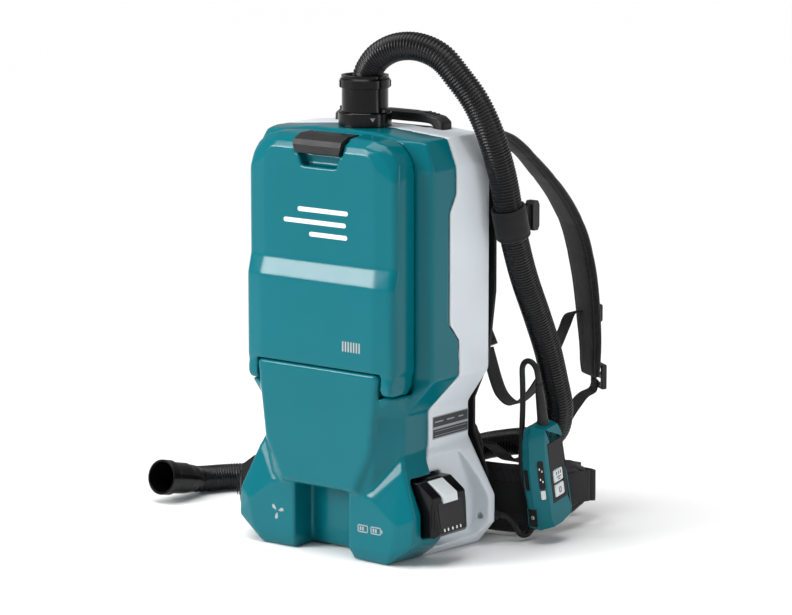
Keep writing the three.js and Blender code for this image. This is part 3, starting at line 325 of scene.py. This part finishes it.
def tube(name, route, radius, sides, spacing, slot, bore=0.0):
    """A round tube, or a solid cord if it has no bore. Its outer radius is a function of the distance
    along it. Returns the tube, its line and its length."""
    line, at = smooth_line(np.array(route) * MM, spacing)
    tangent = unit(np.gradient(line, axis=0))
    side = unit(np.cross(tangent[0], [0.3, 1, 0.2]))
    frames = []
    for t in tangent:
        side = unit(side - t * (side @ t))
        frames.append((side, np.cross(t, side)))
    turns = np.linspace(0, math.tau, sides, endpoint=False)

    def ring(i, r):
        a, b = frames[i]
        return line[i] + r * (np.cos(turns)[:, None] * a + np.sin(turns)[:, None] * b)

    rings = [ring(i, radius(s)) for i, s in enumerate(at)]
    if bore:
        back = range(len(at) - 1, -1, -4)
        rings += [ring(i, bore) for i in back] + [ring(0, bore), rings[0]]
    made = ringed(name, rings, slot, closed=not bore)
    return made, line, float(at[-1])


def strip(name, route, across, section, slot, spacing=3 * MM, ripple=0.0):
    """A strap along a route. across(t) is the direction of its width; section(t) gives its outline as
    (across, out) pairs, where out is the strap's face on the side of along x across."""
    line, at = smooth_line(np.array(route) * MM, spacing)
    tangent = unit(np.gradient(line, axis=0))
    rings, uvs = [], []
    for i, s in enumerate(at):
        t = s / at[-1]
        side = np.array(across(t), float)
        face = unit(np.cross(tangent[i], side))
        outline = section(t)
        ring = [line[i] + side * u + face * v for u, v in outline]
        if ripple:
            ring = [p + face * ripple * noise.noise(Vector(p) * 22) for p in ring]
        rings.append(np.array(ring))
        uvs += [(u, s) for u, _ in outline]
    return ringed(name, rings, slot, uvs)


def flat_section(width, thick):
    """Webbing's outline, with rounded edges."""
    w, h = width / 2, thick / 2
    right = [(w - h, h), (w - 0.3 * h, 0.7 * h), (w, 0), (w - 0.3 * h, -0.7 * h), (w - h, -h)]
    middle = [(w * k, -h) for k in (0.5, 0, -0.5)]
    return right + middle + [(-u, v) for u, v in right[::-1]] + [(-u, -v) for u, v in middle]


def webbing(name, route, width, thick, node=None, across=(0, 1, 0)):
    """A flat band of even width, in millimetres, which may take the place of a CAD node."""
    outline = flat_section(width * MM, thick * MM)
    made = strip(name, route, lambda t: across, lambda t: outline, "webbing")
    if node:
        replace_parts(made, node)


def padded_section(width, thick, inset):
    """A pad's outline: crowned faces, a sewn groove at inset from each edge and a bound edge."""
    w, h = width / 2, thick / 2
    bind = 0.42 * h
    face = [
        (0, h),
        (0.45 * (w - inset), 0.99 * h),
        (0.8 * (w - inset), 0.9 * h),
        (w - inset - 1.6 * MM, 0.78 * h),
        (w - inset, 0.5 * h),
        (w - inset + 1.6 * MM, 0.72 * h),
        (w - 1.6 * bind, 0.66 * h),
        (w - bind, bind + 0.4 * MM),
    ]
    edge = [(w - bind + bind * math.cos(a), bind * math.sin(a)) for a in (0.9, 0.45, 0)]
    half = face + edge
    lower = [(u, -v) for u, v in half[::-1][1:]]
    right = half + lower
    return right + [(-u, v) for u, v in right[::-1][1:-1]]


def lathe(name, profile, matrix, slot, sides=48):
    """A closed profile of (radius, height) in millimetres, turned about the matrix's Z axis."""
    turns = np.linspace(0, math.tau, sides, endpoint=False)
    rings = []
    for r, z in profile:
        ring = np.stack([r * np.cos(turns), r * np.sin(turns), np.full(sides, z)], axis=1) * MM
        rings.append(np.array([matrix @ Vector(p) for p in ring]))
    return ringed(name, rings, slot)


def rounded(width, height, radius, steps=5):
    """A rounded rectangle's outline about its middle, in millimetres."""
    out = []
    for cx, cy, start in ((1, 1, 0), (-1, 1, 90), (-1, -1, 180), (1, -1, 270)):
        for i in range(steps + 1):
            a = math.radians(start + 90 * i / steps)
            x = cx * (width / 2 - radius) + radius * math.cos(a)
            y = cy * (height / 2 - radius) + radius * math.sin(a)
            out.append((x, y))
    return out


def hollow_outline(width, height, radius, line):
    """A rounded rectangle drawn as a line: short four-sided pieces round its edge."""
    outer = rounded(width, height, radius)
    inner = rounded(width - 2 * line, height - 2 * line, max(0.3, radius - line))
    count = len(outer)
    return [[outer[i], outer[(i + 1) % count], inner[(i + 1) % count], inner[i]] for i in range(count)]


def plane(middle, right, up):
    """The matrix of a flat place in millimetres: its X is right, its Y is up and its Z stands out of it."""
    x, y = Vector(right).normalized(), Vector(up).normalized()
    z = x.cross(y).normalized()
    y = z.cross(x)
    return Matrix.Translation(Vector(middle) * MM) @ Matrix((x, y, z)).transposed().to_4x4()


def plates(name, outlines, thick, matrix, slot, body="root", material=None, sunk=0.3, edge=0.25):
    """Flat raised pieces with softened edges, all in one mesh, on a plane. Outlines are in millimetres."""
    bm = bmesh.new()
    for outline in outlines:
        low = [bm.verts.new(matrix @ Vector((x * MM, y * MM, -sunk * MM))) for x, y in outline]
        high = [bm.verts.new(matrix @ Vector((x * MM, y * MM, thick * MM))) for x, y in outline]
        bm.faces.new(low[::-1])
        bm.faces.new(high)
        for i in range(len(low)):
            j = (i + 1) % len(low)
            bm.faces.new((low[i], low[j], high[j], high[i]))
    bmesh.ops.recalc_face_normals(bm, faces=bm.faces)
    mesh = bpy.data.meshes.new(name)
    bm.to_mesh(mesh)
    bm.free()
    mesh.materials.append(material or SLOTS[slot])
    made = bpy.data.objects.new(name, mesh)
    bpy.context.scene.collection.objects.link(made)
    soften(made, edge * MM, 40, 2)
    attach(made, body)
    return made


def shifted(outline, x, y):
    """An outline moved by x and y."""
    return [(u + x, v + y) for u, v in outline]


def soften(obj, width, angle, segments, dissolve=False):
    """Rounds an object's edges that are sharper than the angle, and shades it smooth."""
    mesh = obj.data
    mesh.polygons.foreach_set("use_smooth", [True] * len(mesh.polygons))
    if dissolve:
        weld = obj.modifiers.new("weld", "WELD")
        weld.merge_threshold = WELD_GAP
        merge = obj.modifiers.new("flats", "DECIMATE")
        merge.decimate_type = "DISSOLVE"
        merge.angle_limit = math.radians(1.5)
    if width:
        bevel = obj.modifiers.new("edges", "BEVEL")
        bevel.width, bevel.segments = width, segments
        bevel.limit_method, bevel.angle_limit = "ANGLE", math.radians(angle)
        bevel.use_clamp_overlap = True
    shade = obj.modifiers.new("shading", "WEIGHTED_NORMAL")
    shade.keep_sharp = False
    shade.weight = 60


def refine(obj):
    """One level of subdivision over a padded mesh."""
    modifier = obj.modifiers.new("smooth", "SUBSURF")
    modifier.levels = modifier.render_levels = 1


# ---------------------------------------------------------------- cords first
HOSE_ROUTE = [
    (0, INLET_Y, 541), (5, INLET_Y, 557), (20, 9, 575), (44, 12, 587), (72, 17, 588.5), (98, 24, 578),
    (117, 32.5, 555), (134, 44, 526), (146, 56, 488), (151, 72, 440), (152, 87, 386), (150.5, 102, 349),
    (149, 120, 312), (148.5, 145.5, 266), (148, 167.5, 223), (147, 184, 182), (144, 198, 147),
    (131, 207, 117), (106, 205, 103), (75, 198, 97), (36, 192, 87), (-8, 190, 68), (-56, 190, 43),
    (-103, 187, 24), (-150, 181, 17.2), (-200, 171, 17), (-243, 157, 16.9), (-275, 136, 16.9),
    (-297, 112, 16.9), (-311.6, 88, 17), (-317.6, 71, 18.1), (-318, 57.8, 20.9),
]  # fmt: skip
CABLE_ROUTE = [
    (129.7, 96.5, 34), (134, 101.4, 32.6), (139, 107, 28.2), (142.6, 111.6, 20.5), (144.6, 115.4, 12.2),
    (146, 120.2, 7.6), (147.4, 126.2, 6.4), (148.6, 132, 8.4), (149.6, 136, 13.4), (150.2, 137.6, 20.5),
    (150.3, 135.6, 33), (150, 129.6, 49), (150, 121.2, 66), (150, 115.2, 85), (150, 113, 107),
    (150, 114.3, 136), (150.2, 115.2, 165), (150.6, 114.2, 190), (151.2, 112.4, 206.5),
    (153.2, 111, 213.6), (157.4, 109.8, 218.4), (163.1, 109.2, 220.2), (168.8, 109, 218.3),
    (173.1, 109.2, 213.4), (174.9, 110.1, 206), (175, 112.2, 194), (175, 118, 164), (175, 123.4, 136.5),
]  # fmt: skip
RIB_PITCH = 3.6 * MM


def rib(s):
    """The hose's outer radius: round crests with narrow valleys between them."""
    phase = (s / RIB_PITCH) % 1
    crest = max(0.0, math.sin(math.pi * phase)) ** 0.7
    return HOSE_RADIUS - 2.1 * MM * (1 - crest)


def make_hose():
    """The ribbed hose, open along its bore."""
    hose, line, length = tube("ribbed_hose", HOSE_ROUTE, rib, 36, RIB_PITCH / 6, "hose_plastic", HOSE_BORE)
    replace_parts(hose, "hose")


BOX_MIDDLE = (161, 133, 82)
BOX_TILT = math.radians(11)


def box_place(x, y, z, right=(0, 1, 0), up=(0, 0, 1)):
    """A plane on the control box, from the box's own millimetres."""
    turn = Matrix.Rotation(BOX_TILT, 3, "X")
    middle = turn @ Vector((x, y, z)) + Vector(BOX_MIDDLE)
    return plane(middle, turn @ Vector(right), turn @ Vector(up))


def make_cable():
    """The control cable, and the sleeve that tapers round it above the control box."""
    cable, line, length = tube(
        "smooth_cable", CABLE_ROUTE, lambda s: CABLE_RADIUS, 20, 2 * MM, "cable_rubber"
    )
    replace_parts(cable, "control_cable")
    profile = [(3.75, 52), (6.7, 52), (7, 52.4), (7, 68.4), (6.7, 69), (6.5, 70.5), (6.3, 73)]
    steps = 8
    profile += [(6.3 - 1.75 * k / steps, 73 + 41 * k / steps) for k in range(1, steps)]
    profile += [(4.5, 113.4), (4.2, 114), (3.75, 114), (3.75, 52)]
    sleeve = lathe("cable_sleeve", profile, box_place(14, 1, 0, (1, 0, 0), (0, 1, 0)), "cable_rubber")
    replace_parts(sleeve, "strain_relief")


make_hose()
make_cable()


# ---------------------------------------------------------------- CAD pieces that stay
# Widths of the rounded edges in millimetres. Every other piece has SMALL_EDGE.
SMALL_EDGE = 0.5
EDGES = {
    "cover_latch": 1.2,
    "carry_handle": 3.2,
    "battery_right": 1.2,
    "battery_left": 1.2,
    "control_case_front": 2.2,
    "control_case_back": 1.8,
    "mode_button": 2.2,
    "power_button": 2.2,
    "gauge_button": 1.2,
    "strap_buckle_right": 1.5,
    "strap_buckle_left": 1.5,
    "chest_slider_right": 2.5,
    "chest_slider_left": 2.5,
    "hip_buckle_right": 1.5,
    "hip_buckle_left": 1.5,
    "chest_buckle": 1.5,
    "hose_band_clip": 1.8,
    "back_plate": 1.2,
    "battery_release_right": 0.8,
    "battery_release_left": 0.8,
}
# The size of the even mesh's cells in millimetres, and how many times it is smoothed.
MOULDINGS = {"front_housing": (1.9, 9), "rear_housing": (2.0, 9), "dust_cover": (1.7, 9)}


def mould(obj, voxel, rounds):
    """Rounds every edge and crease of a large moulding, as a mould does, by an even mesh and smoothing."""
    remesh = obj.modifiers.new("even", "REMESH")
    remesh.mode, remesh.voxel_size = "VOXEL", voxel * MM
    remesh.use_smooth_shade = True
    smooth = obj.modifiers.new("rounded", "SMOOTH")
    smooth.factor, smooth.iterations = 0.5, rounds


def finish_cad():
    """Each CAD piece gets its slot's material, rounded edges and smooth shading."""
    for part in frame["record"]["subparts"]:
        obj = nodes[part["node"]]
        obj.data.materials.clear()
        obj.data.materials.append(SLOTS[part["material_slot"]])
        custom = obj.data.attributes.get("custom_normal")
        if custom:
            obj.data.attributes.remove(custom)
        if part["node"] in MOULDINGS:
            mould(obj, *MOULDINGS[part["node"]])
        else:
            soften(obj, EDGES.get(part["node"], SMALL_EDGE) * MM, 24, 3, dissolve=True)


finish_cad()


# ---------------------------------------------------------------- padded harness
SIDES = ((1, "right"), (-1, "left"))
SHOULDER_ROUTE = [
    (108, 477), (140, 477), (186, 452), (228, 420), (268, 383), (298, 340), (318, 282), (329, 217),
    (332, 160),
]  # fmt: skip
LOWER_ROUTE = [
    (342.5, 154.5), (340.5, 147), (336, 141), (318, 138), (302, 130), (286, 120), (258, 100), (226, 83),
    (195, 78), (165, 83), (143, 98), (119, 113),
]  # fmt: skip


def eased(values, t):
    """A smooth value between evenly spaced ones."""
    at = min(t, 0.9999) * (len(values) - 1)
    low = int(at)
    share = at - low
    share = share * share * (3 - 2 * share)
    return values[low] + share * (values[low + 1] - values[low])


def pad_turn(t):
    """The shoulder pad's turn: none at the housing, and all of it from where the pad hangs freely."""
    return math.radians(27) * min(1, t / 0.22)


def tail_turn(t):
    """The lower webbing's turn: that of its ladder lock at first, and none from halfway to the plate."""
    return math.radians(40) * max(0, 1 - t / 0.45)


def turned(side, turn):
    """The direction of a strap's width at t, turned from X and mirrored for the left side."""

    def across(t):
        return (math.cos(turn(t)), -side * math.sin(turn(t)), 0)

    return across


def shoulder_strap(side, end):
    """A padded strap with creases where it bends, tapered at its two ends."""
    route = [(side * STRAP_X, y, z) for y, z in SHOULDER_ROUTE]

    def section(t):
        crease = sum(math.exp(-(((t - k) / 0.012) ** 2)) for k in (0.2, 0.335, 0.52, 0.63))
        taper = min(1, 0.55 + t / 0.06, 0.5 + (1 - t) / 0.07)
        width = eased([43, 53, 59, 61, 59, 49], t) * (0.8 + 0.2 * taper) * MM
        thick = eased([9.6, 11.6, 12.8, 12.8, 12.8, 11.8], t) * taper * (1 - 0.12 * crease) * MM
        return padded_section(width, thick, 7.5 * MM)

    across = turned(side, pad_turn)
    pad = strip(f"shoulder_pad_{end}", route, across, section, "mesh_padding", 3.2 * MM, 1.3 * MM)
    refine(pad)
    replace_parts(pad, f"shoulder_strap_{end}")


WINGS = {
    "right": [(60, 127, 46), (100, 129, 46), (132, 140, 46), (149, 165, 48), (153, 200, 51), (151, 240, 47)],
    "left": [
        (-60, 127, 46), (-100, 129, 46), (-132, 140, 54), (-149, 165, 70), (-153, 200, 74), (-151, 240, 64),
    ],
}  # fmt: skip


def hip_wing(side, end):
    """A padded hip wing with a band of webbing sewn along its outer face."""

    def section(t):
        taper = min(1, 0.6 + t / 0.08, 0.6 + (1 - t) / 0.06)
        width = eased([80, 83, 83, 77, 67, 47], t) * (0.86 + 0.14 * taper) * MM
        return padded_section(width, 14.4 * taper * MM, 9 * MM)

    upright = (0, 0, 1)
    pad = strip(f"hip_pad_{end}", WINGS[end], lambda t: upright, section, "mesh_padding", ripple=1.1 * MM)
    refine(pad)
    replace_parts(pad, f"hip_wing_{end}")
    line, _ = smooth_line(WINGS[end], 12)
    tangent = unit(np.gradient(line, axis=0))
    outward = unit(np.cross(tangent, upright)) * side
    half_pad = 7.9
    band = [tuple(p + o * half_pad) for p, o in zip(line, outward)][1:]
    webbing(f"hip_band_{end}", band, 38, 1.6, across=upright)


def puffed(node, name, slot, voxel, shrink, pressure, cap):
    """A CAD solid's copy, shrunk a little and then blown up as cloth by a light pressure. No point of it ends
    up further than cap from where it started."""
    mesh = nodes[node].data.copy()
    made = bpy.data.objects.new(name, mesh)
    bpy.context.scene.collection.objects.link(made)
    mesh.materials.clear()
    mesh.materials.append(SLOTS[slot])
    weld = made.modifiers.new("weld", "WELD")
    weld.merge_threshold = WELD_GAP
    remesh = made.modifiers.new("remesh", "REMESH")
    remesh.mode, remesh.voxel_size = "VOXEL", voxel
    bake(made)
    shrunk = [v.co - v.normal * shrink for v in made.data.vertices]
    for v, p in zip(made.data.vertices, shrunk):
        v.co = p
    start = np.array([v.co for v in made.data.vertices])
    cloth = made.modifiers.new("cloth", "CLOTH")
    cloth.settings.quality = 4
    cloth.settings.mass = 0.3
    cloth.settings.use_pressure = True
    cloth.settings.uniform_pressure_force = pressure
    cloth.settings.effector_weights.gravity = 0
    cloth.settings.tension_stiffness = cloth.settings.compression_stiffness = 20
    for f in range(1, 17):
        bpy.context.scene.frame_set(f)
    bake(made)
    bpy.context.scene.frame_set(1)
    now = np.array([v.co for v in made.data.vertices])
    move = now - start
    far = np.linalg.norm(move, axis=1, keepdims=True)
    now = start + move * np.minimum(1, cap / np.maximum(far, 1e-9))
    made.data.vertices.foreach_set("co", now.ravel())
    made.data.polygons.foreach_set("use_smooth", [True] * len(made.data.polygons))
    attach(made, "root")
    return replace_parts(made, node)


def bake(obj):
    """The object's mesh with its modifiers applied."""
    bpy.context.view_layer.update()
    evaluated = obj.evaluated_get(bpy.context.evaluated_depsgraph_get())
    mesh = bpy.data.meshes.new_from_object(evaluated)
    obj.modifiers.clear()
    obj.data = mesh


def back_pad():
    """The cushion, with channels sewn across and down the face that lies on the wearer's back."""
    slack, front = 5 * MM, 104 * MM
    pad = puffed("back_pad", "back_cushion", "mesh_padding", 5 * MM, shrink=1.2 * MM, pressure=3.0, cap=slack)
    for v in pad.data.vertices:
        x, z = v.co.x / MM, v.co.z / MM
        if v.co.y < front:
            continue
        across = max(math.exp(-(((z - k) / 4) ** 2)) for k in (96, 190, 262, 334, 406))
        down = math.exp(-(((abs(x) - 27) / 4.5) ** 2))
        v.co.y -= 3.4 * MM * max(across, down)
    refine(pad)


def signed_power(value, power):
    """A power of a value's size, with the value's own sign."""
    return math.copysign(abs(value) ** power, value)


def dust_bag():
    """A fleece bag that bulges between its welded ends, with soft folds down its sides."""
    low, high = (np.array(corner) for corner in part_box("dust_bag"))
    middle, half = (low + high) / 2, (high - low) / 2
    turns = np.linspace(0, math.tau, 96, endpoint=False)
    rings = []
    for t in np.linspace(0, 1, 60):
        rise = math.sin(math.pi * (0.04 + 0.92 * t)) ** 0.34
        wide = half[0] * (0.42 + 0.55 * rise)
        deep = half[1] * (0.2 + 0.77 * rise)
        sag = 1 - 0.05 * t
        z = low[2] + t * (high[2] - low[2])
        ring = []
        for a in turns:
            x = signed_power(math.cos(a), 0.55) * wide * sag
            y = signed_power(math.sin(a), 0.6) * deep * sag
            fold = noise.noise(Vector((x * 34, y * 34, t * 2.6)))
            fold += 0.5 * noise.noise(Vector((x * 80, y * 80, t * 5)))
            shrink = 1 - 0.035 * (fold + 0.9)
            ring.append((middle[0] + x * shrink, middle[1] + y * shrink, z))
        rings.append(np.array(ring))
    bag = ringed("fleece_bag", rings, "bag_paper")
    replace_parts(bag, "dust_bag")


CHEST_RIGHT = [
    (90, 331, 241), (81, 325, 239.5), (72.6, 319, 236), (67, 314, 218), (54, 309, 184), (36, 305, 149),
    (18, 303, 127), (1.4, 302, 117.5), (-15, 302.5, 124), (-27, 304, 140), (-45, 307.6, 181.4),
]  # fmt: skip
CHEST_LEFT = [(-90, 331, 241), (-81, 325, 239.5), (-72.6, 319, 236), (-69, 314.5, 229), (-64.2, 311, 218.6)]
HIP_WEBBING = [(151, 241.2, 0), (154, 250, -2), (153.5, 259.5, -3.5), (143, 264.5, -4), (126, 265, -4)]


def lower_strap(side, end):
    """The webbing from a shoulder pad's ladder lock to the back plate."""
    route = [(side * STRAP_X, y, z) for y, z in LOWER_ROUTE]
    outline = flat_section(25 * MM, 2.2 * MM)
    tail = strip(f"lower_strap_{end}", route, turned(side, tail_turn), lambda t: outline, "webbing")
    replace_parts(tail, f"lower_webbing_{end}")


def make_harness():
    """Both sides' pads and straps, the chest strap, the cushion, and the bag inside."""
    for side, end in SIDES:
        shoulder_strap(side, end)
        hip_wing(side, end)
        lower_strap(side, end)
        height = WINGS[end][-1][2]
        belt = [(side * x, y, height + drop) for x, y, drop in HIP_WEBBING]
        webbing(f"hip_strap_{end}", belt, 38, 2.4, f"hip_webbing_{end}", (0, 0, 1))
    webbing("chest_strap_right", CHEST_RIGHT, 25, 1.9, "chest_webbing_right")
    webbing("chest_strap_left", CHEST_LEFT, 25, 1.9, "chest_webbing_left")
    back_pad()
    dust_bag()


make_harness()


# ---------------------------------------------------------------- hose band
def hose_band():
    """The fabric band that holds the hose to the housing's side."""
    turn = Matrix.Rotation(math.radians(18.2), 4, "X")
    place = Matrix.Translation(Vector((152, 87, 386)) * MM) @ turn
    profile = [(18, -18.6), (19.4, -19), (20.1, -18.2), (20.3, -15.6), (19.9, -15), (20.3, -14.4)]
    profile += [(20.1, -6), (20.2, 4), (20.3, 14.4), (19.9, 15), (20.3, 15.6), (20.1, 18.2)]
    profile += [(19.4, 19), (18, 18.6), (18, -18.6)]
    band = lathe("hose_loop", profile, place, "harness_fabric", 56)
    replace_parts(band, "hose_band")


hose_band()


# ---------------------------------------------------------------- printed and moulded detail
def label():
    """The rating plate's place on the right of the waist: plain bars, no words."""
    place = plane((104, 36, 150), (0, 1, 0), (0, 0, 1))
    plates("rating_plate", [rounded(68, 27, 1)], 0.2, place, "grey_shell", material=GREY_INK, edge=0.05)
    bands = [shifted(rounded(66, 11.5, 0.6), 0, 6.6), shifted(rounded(66, 10, 0.6), 0, -7)]
    plates("rating_bands", bands, 0.3, place, "grey_shell", material=DARK_INK, edge=0.05)
    bars = [shifted(rounded(w, 1.4, 0.3), x, 6.6) for x, w in ((-22, 16), (0, 14), (20, 9))]
    bars += [shifted(rounded(60, 0.5, 0.1), 0, z) for z in (-4.4, -9.6)]
    plates("rating_bars", bars, 0.4, place, "grey_shell", material=GREY_INK, edge=0.05)


def air_mark():
    """Three plain lines of moving air on the cover, and small plain pictograms."""
    face = plane((0, -77, 390), (1, 0, 0), (0, 0, 1))
    lines = [shifted(rounded(w, 5.4, 2.6), x, z) for x, z, w in ((6, 14, 74), (-6, 0, 92), (14, -14, 56))]
    plates("air_mark", lines, 0.25, face, "light_button", "cover", WHITE_INK, edge=0.08)
    low = plane((52, -83, 252), (1, 0, 0), (0, 0, 1))
    pleats = [shifted(rounded(2, 12, 0.6), x, 0) for x in (-12, -8, -4, 0, 4, 8, 12)]
    plates("filter_mark", pleats, 0.25, low, "light_button", "cover", GREY_INK, edge=0.08)


def foot_marks():
    """Plain pictograms on the feet: two battery packs on the right, three blades on the left."""
    right = plane((72, -75, 40), (1, 0, 0), (0, 0, 1))
    packs = []
    for x in (-9.5, 9.5):
        packs += [shifted(part, x, 0) for part in hollow_outline(15, 9, 1.8, 1.2)]
        packs += [shifted(rounded(2.2, 4.6, 0.6), x + k, 0) for k in (-3.4, 0.2)]
    packs.append(shifted(rounded(1.6, 4, 0.5), 18.4, 0))
    plates("pack_pictogram", packs, 0.25, right, "light_button", material=GREY_INK, edge=0.0)
    left = plane((-66, -75, 42), (1, 0, 0), (0, 0, 1))
    blade = [(1.6, 0.9), (6, 4.6), (9, 4), (9.6, 1.2), (5, 0)]
    blades = []
    for k in range(3):
        c, s = math.cos(math.tau * k / 3), math.sin(math.tau * k / 3)
        blades.append([(u * c - v * s, u * s + v * c) for u, v in blade])
    plates("blade_pictogram", blades, 0.25, left, "light_button", material=GREY_INK, edge=0.0)


def latch_lines():
    """Three grip lines on the latch."""
    face = plane((0, -80.75, 475.5), (1, 0, 0), (0, -0.06, 1))
    lines = [shifted(rounded(22, 1, 0.4), 0, z) for z in (-3, 0, 3)]
    plates("latch_lines", lines, 0.45, face, "satin_black_plastic", "latch", edge=0.2)


def battery_detail(side, end):
    """A battery's end panel with its charge marks, and the ribs on its front."""
    body = f"{end}_battery"
    up = Vector((-7 * side, 0, 42)).normalized()
    right = Vector((0, side, 0))
    face = plane((147.2 * side, -18.5, 60.5), right, up)
    plates(f"pack_panel_{end}", [rounded(46, 30, 4)], 0.5, face, "satin_black_plastic", body)
    marks = [shifted(rounded(2.2, 3.6, 0.5), side * x, -17.4) for x in (-16, -9, -1, 7, 14)]
    plates(f"pack_marks_{end}", marks, 0.3, face, "light_button", body, WHITE_INK, edge=0.1)
    ribs = [shifted(rounded(1.4, 30, 0.6), side * x, 0) for x in (9, 5.5, 2)]
    front = plane((side * 140, -50, 60), (1, 0, 0), (0, 0, 1))
    plates(f"pack_ribs_{end}", ribs, 0.4, front, "gloss_black_plastic", body)


def screw(name, place, radius):
    """A cross-headed screw on a plane, its radius in millimetres. Its cross recess is painted shade: dark ink
    bars raised on the head, not a cut.
    """
    profile = [(0.01, -0.6), (radius, -0.6), (radius, 0.1), (radius * 0.8, 0.7), (0.01, 0.9), (0.01, -0.6)]
    lathe(name, profile, place, "steel", 24)
    # Painted shade: the cross recess is drawn as dark ink bars standing on the head.
    cross_recess_shade = [rounded(radius * 1.1, radius * 0.26, 0.1), rounded(radius * 0.26, radius * 1.1, 0.1)]
    plates(f"{name}_cross_shade", cross_recess_shade, 0.95, place, "satin_black_plastic", material=DARK_INK, edge=0.02)


def box_detail():
    """The control box's gauge strip, key marks, slot and screw plate."""
    bevel = box_place(21.5, -23.35, 9, (0.735, 0.678, 0), (0, 0, 1))
    plates("gauge_strip", [rounded(7.4, 36, 3)], 0.35, bevel, "gloss_black_plastic")
    leds = [shifted(rounded(1.3, 2.6, 0.4), x, z) for x, z in ((-1.4, 8), (1.2, 5), (-1.4, -5), (1.2, -8))]
    plates("gauge_leds", leds, 0.5, bevel, "light_button", material=WHITE_INK, edge=0.05)
    side = box_place(6.2, -31.9, 4, (1, 0, 0), (0, 0, 1))
    plates("box_slot", [rounded(5.5, 27, 2.7)], 0.4, side, "gloss_black_plastic")
    foot = box_place(8.3, -30.6, -44, (1, 0, 0), (0, 0.045, 1))
    plates("box_rim", [rounded(15, 25, 2)], 0.5, foot, "teal_shell", edge=0.4)
    plates("box_inset", [rounded(12.4, 22, 1.4)], 0.8, foot, "gloss_black_plastic", edge=0.2)
    screw("box_screw", foot @ Matrix.Translation((0, 0.5 * MM, 0.9 * MM)), 2.6)
    fan = box_place(27.2, 2.9, 0.5)
    marks = [shifted(rounded(1.6, 4.2, 0.6), x, z) for x, z in ((-4, 3.4), (0, 3.4), (4, 3.4))]
    marks += [shifted(rounded(9, 1.2, 0.5), 0, -1.4), shifted(rounded(5, 1.2, 0.5), 0, -4.2)]
    plates("mode_mark", marks, 0.12, fan, "light_button", "mode_key", DARK_INK, 0.05, 0.02)
    stop = box_place(27.2, 2.9, -17.5)
    ring = hollow_outline(4.6, 7.4, 2.2, 1.2)
    plates("stop_mark", ring, 0.12, stop, "light_button", "power_key", DARK_INK, 0.05, 0.0)


def coupling_detail():
    """Four lugs round the hose's coupling, and the lock mark on the collar below it."""
    for k in range(4):
        turn = math.radians(45 + 90 * k)
        out = Vector((math.cos(turn), math.sin(turn), 0))
        across = Vector((-math.sin(turn), math.cos(turn), 0))
        lug = plane(Vector((0, INLET_Y, 543)) + out * 29, across, (0, 0, 1))
        plates(f"coupling_lug_{k}", [rounded(9, 8, 1)], 0.9, lug, "gloss_black_plastic", "coupling", edge=0.4)
    turn = math.radians(-35)
    out = Vector((math.cos(turn), math.sin(turn), 0))
    mark = plane(Vector((0, INLET_Y, 503)) + out * 30.9, (-out.y, out.x, 0), (0, 0, 1))
    arrow = [(-3, 2.4), (0, -2), (3, 2.4)]
    plates("lock_mark", [arrow], 0.3, mark, "gloss_black_plastic", material=GREY_INK, edge=0.05)


def handle_detail():
    """The handle's grip pad, and the ridges beside it."""
    top = plane((14, 60.3, 508.5), (1, 0, 0), (0, 1, 0))
    plates("handle_pad", [rounded(48, 12, 5.9)], 0.5, top, "satin_black_plastic", edge=0.35)
    for k in range(3):
        at = plane((52 + 6 * k, 60.3, 508.2 - 0.95 * k), (1, 0, -0.16), (0, 1, 0))
        plates(f"handle_ridge_{k}", [rounded(3.4, 12, 1.6)], 0.9, at, "satin_black_plastic", edge=0.7)


def make_details():
    """Every mark, plate and screw, in the order in which they are named."""
    label()
    air_mark()
    foot_marks()
    latch_lines()
    for side, end in SIDES:
        battery_detail(side, end)
    box_detail()
    coupling_detail()
    handle_detail()


make_details()


# ---------------------------------------------------------------- room and light
def make_stage():
    """The floor, a hair below the feet, and an even white world."""
    size, drop = 14, 0.4 * MM
    corners = [(x * size, y * size, -drop) for x, y in ((-1, -1), (1, -1), (1, 1), (-1, 1))]
    floor = piece("floor", corners, [(0, 1, 2, 3)], "grey_shell", material=FLOOR_PALE)
    world = bpy.data.worlds.new("studio")
    world.use_nodes = True
    world.node_tree.nodes["Background"].inputs["Color"].default_value = (1, 1, 1, 1)
    world.node_tree.nodes["Background"].inputs["Strength"].default_value = 0.32
    bpy.context.scene.world = world
    bpy.context.scene.view_settings.view_transform = "Standard"


def softbox(name, place, aim, size, power, spread=180):
    """A rectangular light. A narrow spread keeps it off the floor in front of the object."""
    data = bpy.data.lights.new(name, "AREA")
    data.spread = math.radians(spread)
    data.shape, data.size, data.size_y = "RECTANGLE", size[0], size[1]
    data.energy = power
    lamp = bpy.data.objects.new(name, data)
    lamp.location = place
    lamp.rotation_euler = (Vector(aim) - Vector(place)).to_track_quat("-Z", "Y").to_euler()
    bpy.context.scene.collection.objects.link(lamp)


def overhead(strength):
    """An even, very soft light from straight above."""
    data = bpy.data.lights.new("overhead", "SUN")
    data.energy, data.angle = strength, math.radians(50)
    lamp = bpy.data.objects.new("overhead", data)
    lamp.rotation_euler = (math.radians(8), math.radians(-6), 0)
    bpy.context.scene.collection.objects.link(lamp)


make_stage()
softbox("step_glow", (-1.36, -1.79, 0.84), (0, -0.08, 0.33), (1.6, 0.34), 2.2, 44)
softbox("front_left", (-1.3, -2.2, 1.6), (0, 0, 0.36), (1.2, 1.0), 7, 70)
softbox("right_tall", (2.3, 0.5, 0.9), (0, 0.05, 0.3), (0.4, 1.6), 9)
overhead(2.3)
